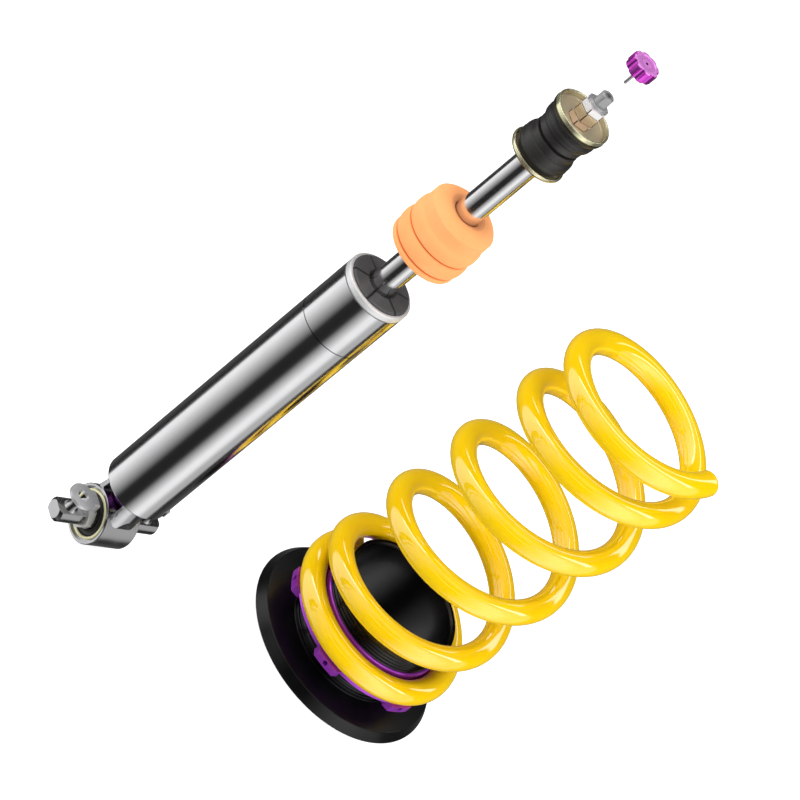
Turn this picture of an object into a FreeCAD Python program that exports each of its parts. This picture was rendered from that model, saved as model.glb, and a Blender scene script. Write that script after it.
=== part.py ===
import FreeCAD, Part
import math
import os

from FreeCAD import Vector

# Coilover with its spring off the damper. A twin-tube damper stands on its lower eye,
# with a bushed stud mount on its rod and its rebound knob lifted off the stud. The coil
# spring stands beside it on its height-adjustable perch. Millimetres, +Z up. The origin
# is the centre of the lower eye, X runs along the cross pin and Z along the rod.

# Fits
FIT = 0.05              # between pieces that are clamped or pressed together
RUN = 0.08              # radial running fit of a shaft in its bore
CLEAR = 0.3             # between curved faces that pass each other

# Cross pin
PIN_R = 9.0
PIN_LENGTH = 95.0
PIN_CHAMFER = 2.2
PIN_FLAT_HEIGHT = 5.5
PIN_HOLE_R = 6.0
PIN_HOLE_SPACING = 71.0

# Bolt keeper on the left end of the pin
KEEPER_ACROSS_FLATS = 20.6
KEEPER_COLLAR_LENGTH = 5.6
KEEPER_SHEET = 2.5
KEEPER_BEND_R = 1.5
KEEPER_EAR_R = 10.75
KEEPER_EAR_TOP = 20.7
KEEPER_HOLE_R = 4.6
KEEPER_WEB_WIDTH = 12.0

# Bush in the lower eye
BUSH_CORE_R = 11.0
BUSH_CORE_LENGTH = 34.0
BUSH_SLEEVE_R = 18.8
BUSH_SLEEVE_WALL = 2.3
BUSH_SLEEVE_LENGTH = 29.6
BUSH_SLEEVE_EDGE = 0.5
BUSH_RUBBER_INSET = 0.9
BUSH_RUBBER_DISH = 1.8

# Lower eye with its yoke
EYE_R = 22.6
EYE_EDGE = 0.5
EYE_LENGTH = 31.4
EYE_MOUTH_R = 20.6
EYE_MOUTH_DEPTH = 4.0
YOKE_WINDOW = 23.6
YOKE_CHEEK = 7.4
YOKE_FOOT = 14.0
YOKE_WAIST = 11.4
YOKE_HEAD = 18.0
YOKE_HEAD_HEIGHT = 4.2
YOKE_NOTCH = 2.2
YOKE_PLATE_R = 21.0
YOKE_PLATE = 2.6
YOKE_TOP = 38.4
YOKE_ROUND_LOW = 21.6
YOKE_ROUND_HIGH = 17.4

# Outer tube, its bottom cap, gas plug and closing ring
TUBE_R = 27.0
TUBE_WALL = 2.0
TUBE_BOTTOM = 39.6
TUBE_TOP = 305.2
TUBE_ROLL = 1.6
SEAM_HEIGHT = 261.0
SEAM_DEPTH = 0.35
SEAM_WIDTH = 0.9
BOTTOM_CAP = 7.6
BOTTOM_CAP_ROLL = 2.0
PLUG_R = 3.4
PLUG_PROUD = 1.3
PLUG_HEIGHT = 45.6
PLUG_ANGLE = -56.9
GROOVE_WIDTH = 1.0
RING_HEIGHT = 4.8
RING_WALL = 2.4
RING_EDGE = 1.2
RING_SPIGOT = 8.0
RING_SPIGOT_WALL = 2.6

# Slotted top cap
CAP_HEIGHT = 6.8
CAP_BEVEL = 0.9
CAP_SLOTS = 6
CAP_SLOT_FIRST = 36.5
CAP_SLOT_WIDTH = 1.8
CAP_SLOT_DEPTH = 2.4
CAP_MOUTH = 1.8

# Compression adjuster in the yoke window
WHEEL_R = 9.8
WHEEL_HEIGHT = 11.2
WHEEL_GAP = 0.6
WHEEL_EDGE = 0.9
WHEEL_FLUTES = 8
WHEEL_FLUTE_R = 1.9
STEM_R = 3.4

# Pressure tube, foot valve, rod guide and seals
PRESSURE_R = 19.0
PRESSURE_WALL = 2.0
FOOT_PLATE = 5.0
FOOT_HEIGHT = 8.0
PORT_COUNT = 6
PORT_R = 1.6
PORT_CIRCLE = 10.5
SHIM = 0.4
GUIDE_HEIGHT = 18.2
GUIDE_SPIGOT = 4.0
GUIDE_BUSH_WALL = 1.5
SEAL_R = 16.0
SEAL_HEIGHT = 5.0
WIPER_R = 13.4
WIPER_HEIGHT = 3.0

# Piston rod with its stud
ROD_R = 10.0
ROD_BORE_R = 2.3
ROD_SHOULDER = 467.2
ROD_SHOULDER_EDGE = 0.8
STUD_R = 4.9
STUD_TOP = 538.5
STUD_EDGE = 0.9
STUD_ACROSS_FLATS = 8.0
STUD_FLAT_LENGTH = 8.5
STUD_FLAT_TURN = -22.0

# Piston and its stack on the tail of the rod
TAIL_R = 6.0
TAIL_LENGTH = 31.0
PISTON_HEIGHT = 18.0
PISTON_GAP = 0.4
BAND_HEIGHT = 10.0
BAND_WALL = 1.3
PISTON_NUT_ACROSS = 17.0
PISTON_NUT_HEIGHT = 8.0
STOP_R = 15.4
STOP_HEIGHT = 9.6
STOP_ABOVE_PISTON = 42.0

# Bump stop on the rod
BUMP_BOTTOM = 354.0
BUMP_HEIGHT = 47.5
BUMP_FOOT_R = 25.3
BUMP_LIP_R = 27.4
BUMP_LIP_HEIGHT = 4.6
BUMP_BULGE_R = 28.7
BUMP_BULGE_HEIGHT = 10.0
BUMP_GROOVE_R = 26.0
BUMP_GROOVE_WIDTH = 1.2
BUMP_WAIST_R = 26.6
BUMP_WAIST_HEIGHT = 15.4
BUMP_SHOULDER_R = 28.2
BUMP_SHOULDER_HEIGHT = 24.5
BUMP_BARREL_R = 26.8
BUMP_BARREL_HEIGHT = 31.0
BUMP_TOP_R = 20.5
BUMP_TOP_ROUND = 5.0
BUMP_FUNNEL_R = 15.5
BUMP_FUNNEL_DEPTH = 3.0

# Dished washers
DISH_R = 21.9
DISH_SHEET = 1.8
DISH_BEND = 3.2
LOWER_DISH_RISE = 4.4
UPPER_DISH_RISE = 7.0

# Rubber bushes of the upper mount
LOWER_RUBBER = 22.0
UPPER_RUBBER = 17.2
RUBBER_R = 20.2
RUBBER_FOOT_IN_R = 16.3
RUBBER_FOOT_R = 18.0
RUBBER_FOOT_HEIGHT = 4.5
RUBBER_NECK_R = 18.4
RUBBER_BEAD = 4.2
RUBBER_EDGE = 0.9
PANEL_GROOVE = 2.2
PANEL_GROOVE_R = 15.0
SPACER_R = 7.5

# Nuts on the stud
NUT_ACROSS = 17.0
NUT_BEVEL = 0.8
THIN_NUT = 5.0
CLAMP_NUT = 7.6
LOCK_NUT = 5.4
NUT_COLLAR = 1.6
NUT_COLLAR_R = 6.6

# Rebound spindle in the rod, and the knob lifted off it
SPINDLE_R = 1.95
SPINDLE_INSET = 2.5
SPINDLE_NEEDLE = 12.0
SOCKET_R = 1.3
SOCKET_DEPTH = 10.0
KNOB_LIFT = 26.5
KNOB_HEIGHT = 9.7
KNOB_R = 10.8
KNOB_ROUND = 1.8
KNOB_LOBES = 8
KNOB_FLUTE_R = 2.6
KNOB_FLUTE_DEPTH = 2.2
KNOB_FACE_R = 7.6
KNOB_FACE_DEPTH = 0.5
KEY_R = 1.15
KEY_LENGTH = 12.0
KEY_GRIP = 5.0

# Spring perch
PERCH_X = 232.7
PERCH_Y = -71.6
PERCH_BOTTOM = -22.0
FLANGE_R = 85.3
FLANGE_TOP_R = 80.2
FLANGE_HEIGHT = 8.8
FLANGE_EDGE = 0.8
HUB_R = 54.2
HUB_HEIGHT = 4.3
HUB_EDGE = 0.7
SLEEVE_R = 52.4
SLEEVE_BORE_R = 47.5
SLEEVE_HEIGHT = 72.2
SLEEVE_MOUTH = 3.0
SLEEVE_RELIEF = 0.7
THREAD_END = 8.5

# Adjuster ring
RING_LIFT = 12.9
RING_BODY_R = 57.0
RING_BODY = 5.5
RING_FLANGE_R = 68.7
RING_FLANGE = 3.0
LUG_COUNT = 6
LUG_R = 73.0
LUG_WIDTH = 26.0
LUG_BEVEL = 3.4
LUG_ROOT = 2.5
LUG_FIRST = 32.5
LUG_RISE = 1.6
LUG_DROP = 0.3
LUG_HOLE_R = 2.1
LIP_HEIGHT = 17.0
LIP_WALL = 2.0

# Coil spring
COIL_R = 65.8
WIRE_R = 9.75
COIL_TURNS = 5.55
COIL_START = 90.1
COIL_FLAT = 0.5
COIL_FIRST_PITCH = 60.0
COIL_PITCH = 72.0
COIL_LAST_PITCH = 41.0
COIL_SECOND = 1.5
COIL_RAMP = 0.25
COIL_EASE = 4.2
COIL_EASE_TURNS = 0.5

# Sizes that follow from the values above
TUBE_BORE_R = TUBE_R - TUBE_WALL
RING_BOTTOM = TUBE_TOP + GROOVE_WIDTH
RING_TOP = RING_BOTTOM + RING_HEIGHT
RING_BORE_R = TUBE_R - RING_WALL
SPIGOT_BORE_R = TUBE_BORE_R - RING_SPIGOT_WALL
CAP_R = RING_BORE_R - CLEAR
CAP_TOP = RING_BOTTOM + CAP_HEIGHT
SEAL_BOTTOM = RING_BOTTOM - SEAL_HEIGHT
GUIDE_BOTTOM = RING_BOTTOM - GUIDE_HEIGHT
PRESSURE_BORE_R = PRESSURE_R - PRESSURE_WALL
FOOT_BOTTOM = YOKE_TOP + BOTTOM_CAP
PRESSURE_BOTTOM = FOOT_BOTTOM + FOOT_PLATE
WINDOW_TOP = YOKE_TOP - YOKE_PLATE
WHEEL_TOP = WINDOW_TOP - WHEEL_GAP
WHEEL_BOTTOM = WHEEL_TOP - WHEEL_HEIGHT
STOP_TOP = GUIDE_BOTTOM - GUIDE_SPIGOT - CLEAR
STOP_BOTTOM = STOP_TOP - STOP_HEIGHT
SHIM_RADII = (13.6, 12.4, 11.0, 9.6)
STACK = SHIM * len(SHIM_RADII)
TAIL_SHOULDER = STOP_BOTTOM - STOP_ABOVE_PISTON
PISTON_TOP = TAIL_SHOULDER - STACK
PISTON_BOTTOM = PISTON_TOP - PISTON_HEIGHT
PISTON_NUT_TOP = PISTON_BOTTOM - STACK
TAIL_BOTTOM = TAIL_SHOULDER - TAIL_LENGTH
RUBBER_BOTTOM = ROD_SHOULDER + DISH_SHEET
RUBBER_SPLIT = RUBBER_BOTTOM + LOWER_RUBBER
RUBBER_TOP = RUBBER_SPLIT + UPPER_RUBBER
THIN_NUT_BOTTOM = RUBBER_TOP + DISH_SHEET
CLAMP_NUT_BOTTOM = THIN_NUT_BOTTOM + THIN_NUT
LOCK_NUT_BOTTOM = CLAMP_NUT_BOTTOM + CLAMP_NUT
COLLAR_BOTTOM = LOCK_NUT_BOTTOM + LOCK_NUT
SPINDLE_TOP = STUD_TOP - SPINDLE_INSET
SPINDLE_BOTTOM = TAIL_BOTTOM + SPINDLE_NEEDLE
KNOB_BOTTOM = STUD_TOP + KNOB_LIFT
FLANGE_TOP = PERCH_BOTTOM + FLANGE_HEIGHT
HUB_TOP = FLANGE_TOP + HUB_HEIGHT
SLEEVE_TOP = PERCH_BOTTOM + SLEEVE_HEIGHT
THREAD_TOP = SLEEVE_TOP - THREAD_END
RING_LOW = HUB_TOP + RING_LIFT
SEAT = RING_LOW + RING_BODY + RING_FLANGE


def outline(points):
    """Closed wire in the XZ plane from (x, z) points; a pair of points is an arc by way of the first."""
    def at(p):
        return Vector(p[0], 0, p[1])

    edges = []
    last = points[0]
    for item in points[1:] + points[:1]:
        if isinstance(item[0], tuple):
            edges.append(Part.Arc(at(last), at(item[0]), at(item[1])).toShape())
            last = item[1]
        else:
            edges.append(Part.LineSegment(at(last), at(item)).toShape())
            last = item
    return Part.Wire(edges)


def turned(points):
    """Solid of revolution about Z of a closed outline of (radius, height) points."""
    return Part.Face(outline(points)).revolve(Vector(0, 0, 0), Vector(0, 0, 1), 360)


def turned_x(points):
    """Solid of revolution about X of a closed outline of (radius, position) points."""
    shape = turned(points)
    shape.rotate(Vector(0, 0, 0), Vector(0, 1, 0), 90)
    return shape


def tube(outer, inner, low, high):
    """Plain tube along Z."""
    return turned([(inner, low), (outer, low), (outer, high), (inner, high)])


def bar_x(radius, length):
    """Round bar along X, centred on the origin."""
    return Part.makeCylinder(radius, length, Vector(-length / 2, 0, 0), Vector(1, 0, 0))


def box(x0, x1, y0, y1, z0, z1):
    return Part.makeBox(x1 - x0, y1 - y0, z1 - z0, Vector(x0, y0, z0))


def hexagon(across, low, high, turn=0.0):
    """Hexagonal bar along Z; the first corner lies at the angle turn."""
    radius = across / 2 / math.cos(math.pi / 6)
    corners = []
    for k in range(7):
        angle = math.radians(60 * k + turn)
        corners.append(Vector(radius * math.cos(angle), radius * math.sin(angle), low))
    return Part.Face(Part.makePolygon(corners)).extrude(Vector(0, 0, high - low))


def around(shape, count, first=0.0):
    """Copies of a shape at even steps about Z."""
    copies = []
    for k in range(count):
        copy = shape.copy()
        copy.rotate(Vector(0, 0, 0), Vector(0, 0, 1), first + 360.0 * k / count)
        copies.append(copy)
    return copies


def cross_pin():
    """Steel bar through the eye, flatted above and below at both ends and drilled there for its bolts."""
    bar = bar_x(PIN_R, PIN_LENGTH)
    ends = [edge for edge in bar.Edges if edge.BoundBox.XLength < 0.01]
    bar = bar.makeChamfer(PIN_CHAMFER, ends)
    flat_start = BUSH_CORE_LENGTH / 2 + FIT + KEEPER_COLLAR_LENGTH + CLEAR
    for side in (-1, 1):
        near, far = sorted((side * flat_start, side * PIN_LENGTH))
        bar = bar.cut(box(near, far, -PIN_R, PIN_R, PIN_FLAT_HEIGHT, PIN_R))
        bar = bar.cut(box(near, far, -PIN_R, PIN_R, -PIN_R, -PIN_FLAT_HEIGHT))
        foot = Vector(side * PIN_HOLE_SPACING / 2, 0, -PIN_R)
        bar = bar.cut(Part.makeCylinder(PIN_HOLE_R, 2 * PIN_R, foot))
    return bar


def bolt_keeper():
    """Hexagonal collar on the pin whose bent tongue holds a round ear over the left bolt hole."""
    near = BUSH_CORE_LENGTH / 2 + FIT
    collar = hexagon(KEEPER_ACROSS_FLATS, near, near + KEEPER_COLLAR_LENGTH, 30)
    collar.rotate(Vector(0, 0, 0), Vector(0, 1, 0), -90)
    ear_low = KEEPER_EAR_TOP - KEEPER_SHEET
    centre = Vector(-PIN_HOLE_SPACING / 2, 0, ear_low)
    web_left = -near - KEEPER_COLLAR_LENGTH
    web_right = web_left + KEEPER_SHEET
    inner = KEEPER_BEND_R
    outer = KEEPER_BEND_R + KEEPER_SHEET
    diagonal = math.sqrt(0.5)
    bend_x = web_left - inner
    bend_z = ear_low - inner
    strap = Part.Face(outline([
        (web_right, PIN_R / 2), (web_right, bend_z),
        ((bend_x + outer * diagonal, bend_z + outer * diagonal), (bend_x, KEEPER_EAR_TOP)),
        (centre.x, KEEPER_EAR_TOP), (centre.x, ear_low), (bend_x, ear_low),
        ((bend_x + inner * diagonal, bend_z + inner * diagonal), (web_left, bend_z)), (web_left, PIN_R / 2),
    ])).extrude(Vector(0, KEEPER_WEB_WIDTH, 0))
    strap.translate(Vector(0, -KEEPER_WEB_WIDTH / 2, 0))
    ear = Part.makeCylinder(KEEPER_EAR_R, KEEPER_SHEET, centre)
    keeper = collar.fuse([strap, ear]).removeSplitter()
    keeper = keeper.cut(Part.makeCylinder(KEEPER_HOLE_R, KEEPER_SHEET, centre))
    return keeper.cut(bar_x(PIN_R + FIT, PIN_LENGTH))


def bush_core():
    """Steel inner sleeve of the bush, clamped on the pin."""
    half = BUSH_CORE_LENGTH / 2
    return turned_x([(PIN_R + FIT, -half), (BUSH_CORE_R, -half), (BUSH_CORE_R, half), (PIN_R + FIT, half)])


def bush_rubber():
    """Rubber ring between core and sleeve, its two ends dished."""
    inner = BUSH_CORE_R + CLEAR
    outer = BUSH_SLEEVE_R - BUSH_SLEEVE_WALL - FIT
    half = BUSH_SLEEVE_LENGTH / 2 - BUSH_RUBBER_INSET
    middle = (inner + outer) / 2
    dish = half - BUSH_RUBBER_DISH
    return turned_x([
        (inner, -half), ((middle, -dish), (outer, -half)),
        (outer, half), ((middle, dish), (inner, half)),
    ])


def bush_sleeve():
    """Plated outer sleeve of the bush with bevelled rims."""
    half = BUSH_SLEEVE_LENGTH / 2
    bore = BUSH_SLEEVE_R - BUSH_SLEEVE_WALL
    edge = BUSH_SLEEVE_EDGE
    return turned_x([
        (bore, -half + edge), (bore + edge, -half),
        (BUSH_SLEEVE_R - edge, -half), (BUSH_SLEEVE_R, -half + edge),
        (BUSH_SLEEVE_R, half - edge), (BUSH_SLEEVE_R - edge, half),
        (bore + edge, half), (bore, half - edge),
    ])


def cheek_outline():
    """Side view of one cheek: foot on the eye, waist beside the window, notched head under the tube."""
    head_low = WINDOW_TOP - YOKE_HEAD_HEIGHT + YOKE_PLATE
    right = [
        (YOKE_FOOT, EYE_R * 0.6), ((YOKE_WAIST + 0.6, EYE_R * 0.86), (YOKE_WAIST, EYE_R + 2.0)),
        (YOKE_WAIST, head_low - YOKE_NOTCH), (YOKE_WAIST + YOKE_NOTCH, head_low),
        (YOKE_HEAD - YOKE_NOTCH, head_low), (YOKE_HEAD, head_low + YOKE_NOTCH), (YOKE_HEAD, YOKE_TOP),
    ]
    left = [
        (-YOKE_HEAD, YOKE_TOP), (-YOKE_HEAD, head_low + YOKE_NOTCH), (-YOKE_HEAD + YOKE_NOTCH, head_low),
        (-YOKE_WAIST - YOKE_NOTCH, head_low), (-YOKE_WAIST, head_low - YOKE_NOTCH),
        (-YOKE_WAIST, EYE_R + 2.0), ((-YOKE_WAIST - 0.6, EYE_R * 0.86), (-YOKE_FOOT, EYE_R * 0.6)),
    ]
    return outline(right + left)


def eye_yoke():
    """Lower eye with two cheeks and a head plate that carry the damper over the adjuster window."""
    body = bar_x(EYE_R, EYE_LENGTH)
    body = body.makeChamfer(EYE_EDGE, [edge for edge in body.Edges if edge.BoundBox.XLength < 0.01])
    cheek = Part.Face(cheek_outline()).extrude(Vector(0, YOKE_CHEEK, 0))
    rounding = Part.makeCone(YOKE_ROUND_LOW, YOKE_ROUND_HIGH, YOKE_TOP)
    inner = YOKE_WINDOW / 2
    for start in (inner, -inner - YOKE_CHEEK):
        side = cheek.copy()
        side.translate(Vector(0, start, 0))
        body = body.fuse(side.common(rounding))
    body = body.fuse(Part.makeCylinder(YOKE_PLATE_R, YOKE_PLATE, Vector(0, 0, WINDOW_TOP)))
    body = body.cut(bar_x(BUSH_SLEEVE_R + FIT, EYE_LENGTH))
    for side in (-1, 1):
        start = Vector(side * (EYE_LENGTH / 2 - EYE_MOUTH_DEPTH), 0, 0)
        body = body.cut(Part.makeCylinder(EYE_MOUTH_R, EYE_MOUTH_DEPTH, start, Vector(side, 0, 0)))
    body = body.cut(Part.makeCylinder(STEM_R + RUN, YOKE_PLATE, Vector(0, 0, WINDOW_TOP)))
    return body.removeSplitter()


def bottom_cap():
    """Pressed cap that closes the tube on the yoke, bored for the adjuster stem."""
    rim = TUBE_BORE_R - FIT
    roll = BOTTOM_CAP_ROLL
    return turned([
        (STEM_R + RUN, YOKE_TOP), (rim - roll, YOKE_TOP),
        ((rim - roll * 0.3, YOKE_TOP + roll * 0.3), (rim, YOKE_TOP + roll)),
        (rim, FOOT_BOTTOM), (STEM_R + RUN, FOOT_BOTTOM),
    ])


def outer_tube():
    """Polished reservoir tube: rolled lower rim and one fine turned seam near the top."""
    half = SEAM_WIDTH / 2
    roll = TUBE_ROLL
    return turned([
        (TUBE_BORE_R, TUBE_BOTTOM), (TUBE_R - roll, TUBE_BOTTOM),
        ((TUBE_R - roll * 0.3, TUBE_BOTTOM + roll * 0.3), (TUBE_R, TUBE_BOTTOM + roll)),
        (TUBE_R, SEAM_HEIGHT - half), (TUBE_R - SEAM_DEPTH, SEAM_HEIGHT), (TUBE_R, SEAM_HEIGHT + half),
        (TUBE_R, TUBE_TOP), (TUBE_BORE_R, TUBE_TOP),
    ])


def gas_plug():
    """Round filling plug that stands a little proud of the tube near its foot."""
    plug = Part.makeCylinder(PLUG_R, TUBE_R + PLUG_PROUD, Vector(0, 0, PLUG_HEIGHT), Vector(1, 0, 0))
    rim = [edge for edge in plug.Edges if edge.BoundBox.XLength < 0.01 and edge.CenterOfMass.x > TUBE_R]
    plug = plug.makeFillet(PLUG_PROUD * 0.6, rim)
    plug = plug.cut(Part.makeCylinder(TUBE_R + FIT, 2 * PLUG_HEIGHT))
    plug.rotate(Vector(0, 0, 0), Vector(0, 0, 1), PLUG_ANGLE)
    return plug


def closing_ring():
    """Brushed ring screwed into the tube: a band flush with the tube above, a spigot below."""
    edge = RING_EDGE
    low = RING_BOTTOM - RING_SPIGOT
    return turned([
        (SPIGOT_BORE_R, low), (TUBE_BORE_R - FIT, low), (TUBE_BORE_R - FIT, RING_BOTTOM),
        (TUBE_R, RING_BOTTOM),
        (TUBE_R, RING_TOP - edge), ((TUBE_R - edge * 0.3, RING_TOP - edge * 0.3), (TUBE_R - edge, RING_TOP)),
        (RING_BORE_R, RING_TOP), (RING_BORE_R, RING_BOTTOM), (SPIGOT_BORE_R, RING_BOTTOM),
    ])


def top_cap():
    """Black cap with radial slots and a flared mouth round the rod."""
    bore = ROD_R + CLEAR
    wiper_top = RING_BOTTOM + WIPER_HEIGHT
    cap = turned([
        (WIPER_R + FIT, RING_BOTTOM), (CAP_R, RING_BOTTOM), (CAP_R, CAP_TOP - CAP_BEVEL),
        (CAP_R - CAP_BEVEL, CAP_TOP), (bore + CAP_MOUTH, CAP_TOP), (bore, CAP_TOP - CAP_MOUTH),
        (bore, wiper_top), (WIPER_R + FIT, wiper_top),
    ])
    half = CAP_SLOT_WIDTH / 2
    slot = box(ROD_R, CAP_R + CLEAR, -half, half, CAP_TOP - CAP_SLOT_DEPTH, CAP_TOP + CLEAR)
    return cap.cut(around(slot, CAP_SLOTS, CAP_SLOT_FIRST))


def pressure_tube():
    """Inner tube that the piston runs in."""
    return tube(PRESSURE_R, PRESSURE_BORE_R, PRESSURE_BOTTOM, GUIDE_BOTTOM)


def foot_valve():
    """Foot valve body under the pressure tube, with its ring of ports."""
    spigot = PRESSURE_BORE_R - FIT
    top = PRESSURE_BOTTOM + FOOT_HEIGHT
    body = turned([
        (0, FOOT_BOTTOM), (PRESSURE_R, FOOT_BOTTOM), (PRESSURE_R, PRESSURE_BOTTOM),
        (spigot, PRESSURE_BOTTOM), (spigot, top), (0, top),
    ])
    return body.cut(around(port(FOOT_BOTTOM, top), PORT_COUNT))


def port(low, high):
    """Drilling for one oil port on the port circle."""
    return Part.makeCylinder(PORT_R, high - low, Vector(PORT_CIRCLE, 0, low))


def foot_shims():
    """Check discs on the foot valve under a round rivet head."""
    low = PRESSURE_BOTTOM + FOOT_HEIGHT
    head = 2 * STEM_R
    return turned([
        (0, low), (PORT_CIRCLE + 2 * PORT_R, low), (PORT_CIRCLE + 2 * PORT_R, low + SHIM),
        (PORT_CIRCLE, low + SHIM), (PORT_CIRCLE, low + 2 * SHIM), (head, low + 2 * SHIM),
        (head, low + 4 * SHIM), (0, low + 4 * SHIM),
    ])


def rod_guide():
    """Guide block between pressure tube and closing ring, bored for bush and seal."""
    bore = ROD_R + RUN + GUIDE_BUSH_WALL + FIT
    spigot = PRESSURE_BORE_R - FIT
    shoulder = RING_BOTTOM - RING_SPIGOT
    low = GUIDE_BOTTOM - GUIDE_SPIGOT
    return turned([
        (bore, low), (spigot, low), (spigot, GUIDE_BOTTOM), (TUBE_BORE_R - FIT, GUIDE_BOTTOM),
        (TUBE_BORE_R - FIT, shoulder), (SPIGOT_BORE_R - FIT, shoulder), (SPIGOT_BORE_R - FIT, RING_BOTTOM),
        (SEAL_R + FIT, RING_BOTTOM), (SEAL_R + FIT, SEAL_BOTTOM), (bore, SEAL_BOTTOM),
    ])


def guide_bush():
    """Plain bearing that the rod slides in."""
    inner = ROD_R + RUN
    return tube(inner + GUIDE_BUSH_WALL, inner, GUIDE_BOTTOM - GUIDE_SPIGOT, SEAL_BOTTOM)


def rod_seal():
    """Oil seal with one lip towards the rod."""
    inner = ROD_R + RUN
    lip = 0.25 * SEAL_HEIGHT
    return turned([
        (inner + lip, SEAL_BOTTOM), (SEAL_R, SEAL_BOTTOM), (SEAL_R, RING_BOTTOM), (inner + lip, RING_BOTTOM),
        (inner, RING_BOTTOM - lip), (inner, SEAL_BOTTOM + lip),
    ])


def rod_wiper():
    """Dust wiper under the black cap."""
    inner = ROD_R + RUN
    lip = 0.3 * WIPER_HEIGHT
    high = RING_BOTTOM + WIPER_HEIGHT
    return turned([
        (inner + lip, RING_BOTTOM), (WIPER_R, RING_BOTTOM), (WIPER_R, high),
        (inner, high), (inner, high - lip),
    ])


def fluted(wheel, radius, count, flute_r, depth, low, high):
    """Cuts round flutes into the rim of a wheel, each as deep as depth."""
    centre = Vector(radius + flute_r - depth, 0, low)
    return wheel.cut(around(Part.makeCylinder(flute_r, high - low, centre), count))


def compression_wheel():
    """Fluted hand wheel in the yoke window."""
    edge = WHEEL_EDGE
    wheel = turned([
        (STEM_R + FIT, WHEEL_BOTTOM), (WHEEL_R - edge, WHEEL_BOTTOM), (WHEEL_R, WHEEL_BOTTOM + edge),
        (WHEEL_R, WHEEL_TOP - edge), (WHEEL_R - edge, WHEEL_TOP), (STEM_R + FIT, WHEEL_TOP),
    ])
    depth = WHEEL_FLUTE_R * 0.55
    return fluted(wheel, WHEEL_R, WHEEL_FLUTES, WHEEL_FLUTE_R, depth, WHEEL_BOTTOM, WHEEL_TOP)


def compression_stem():
    """Stem that carries the wheel and reaches up to the foot valve."""
    high = FOOT_BOTTOM - CLEAR
    return Part.makeCylinder(STEM_R, high - WHEEL_BOTTOM, Vector(0, 0, WHEEL_BOTTOM))


def piston_rod():
    """Hollow rod: tail for the piston, full bar, and a reduced stud with two wrench flats."""
    edge = ROD_SHOULDER_EDGE
    rod = turned([
        (ROD_BORE_R, TAIL_BOTTOM), (TAIL_R - edge, TAIL_BOTTOM), (TAIL_R, TAIL_BOTTOM + edge),
        (TAIL_R, TAIL_SHOULDER), (ROD_R - edge, TAIL_SHOULDER), (ROD_R, TAIL_SHOULDER + edge),
        (ROD_R, ROD_SHOULDER - edge), (ROD_R - edge, ROD_SHOULDER), (STUD_R, ROD_SHOULDER),
        (STUD_R, STUD_TOP - STUD_EDGE), (STUD_R - STUD_EDGE, STUD_TOP), (ROD_BORE_R, STUD_TOP),
    ])
    half = STUD_ACROSS_FLATS / 2
    for side in (-1, 1):
        near, far = sorted((side * half, side * 2 * STUD_R))
        flat = box(-STUD_R, STUD_R, near, far, STUD_TOP - STUD_FLAT_LENGTH, STUD_TOP)
        flat.rotate(Vector(0, 0, 0), Vector(0, 0, 1), STUD_FLAT_TURN)
        rod = rod.cut(flat)
    foot = Vector(-ROD_R, 0, TAIL_SHOULDER + 4 * PORT_R)
    return rod.cut(Part.makeCylinder(PORT_R, 2 * ROD_R, foot, Vector(1, 0, 0)))


def piston():
    """Piston with a groove for its band and a ring of ports."""
    rim = PRESSURE_BORE_R - PISTON_GAP
    groove_low = PISTON_BOTTOM + (PISTON_HEIGHT - BAND_HEIGHT) / 2
    groove_high = groove_low + BAND_HEIGHT
    groove_r = PRESSURE_BORE_R - RUN - BAND_WALL - FIT
    body = turned([
        (TAIL_R + FIT, PISTON_BOTTOM), (rim, PISTON_BOTTOM), (rim, groove_low), (groove_r, groove_low),
        (groove_r, groove_high), (rim, groove_high), (rim, PISTON_TOP), (TAIL_R + FIT, PISTON_TOP),
    ])
    return body.cut(around(port(PISTON_BOTTOM, PISTON_TOP), PORT_COUNT))


def piston_band():
    """Low-friction band round the piston."""
    low = PISTON_BOTTOM + (PISTON_HEIGHT - BAND_HEIGHT) / 2
    outer = PRESSURE_BORE_R - RUN
    return tube(outer, outer - BAND_WALL, low + FIT, low + BAND_HEIGHT - FIT)


def shim_stack(low, radii):
    """Pile of thin valve discs on the tail of the rod, one radius for each disc from below."""
    profile = [(TAIL_R + FIT, low)]
    for k, radius in enumerate(radii):
        profile.append((radius, low + k * SHIM))
        profile.append((radius, low + (k + 1) * SHIM))
    profile.append((TAIL_R + FIT, low + len(radii) * SHIM))
    return turned(profile)


def compression_shims():
    return shim_stack(PISTON_TOP, SHIM_RADII)


def rebound_shims():
    return shim_stack(PISTON_NUT_TOP, SHIM_RADII[::-1])


def piston_nut():
    """Hexagonal nut that clamps the piston and its shims on the tail."""
    low = PISTON_NUT_TOP - PISTON_NUT_HEIGHT
    nut = hexagon(PISTON_NUT_ACROSS, low, PISTON_NUT_TOP)
    return nut.cut(Part.makeCylinder(TAIL_R + FIT, PISTON_NUT_HEIGHT, Vector(0, 0, low)))


def rebound_stop():
    """Stop ring on the rod that meets the guide at full droop."""
    edge = ROD_SHOULDER_EDGE
    inner = ROD_R + FIT
    return turned([
        (inner, STOP_BOTTOM), (STOP_R - edge, STOP_BOTTOM), (STOP_R, STOP_BOTTOM + edge),
        (STOP_R, STOP_TOP - edge), (STOP_R - edge, STOP_TOP), (inner, STOP_TOP),
    ])


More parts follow.
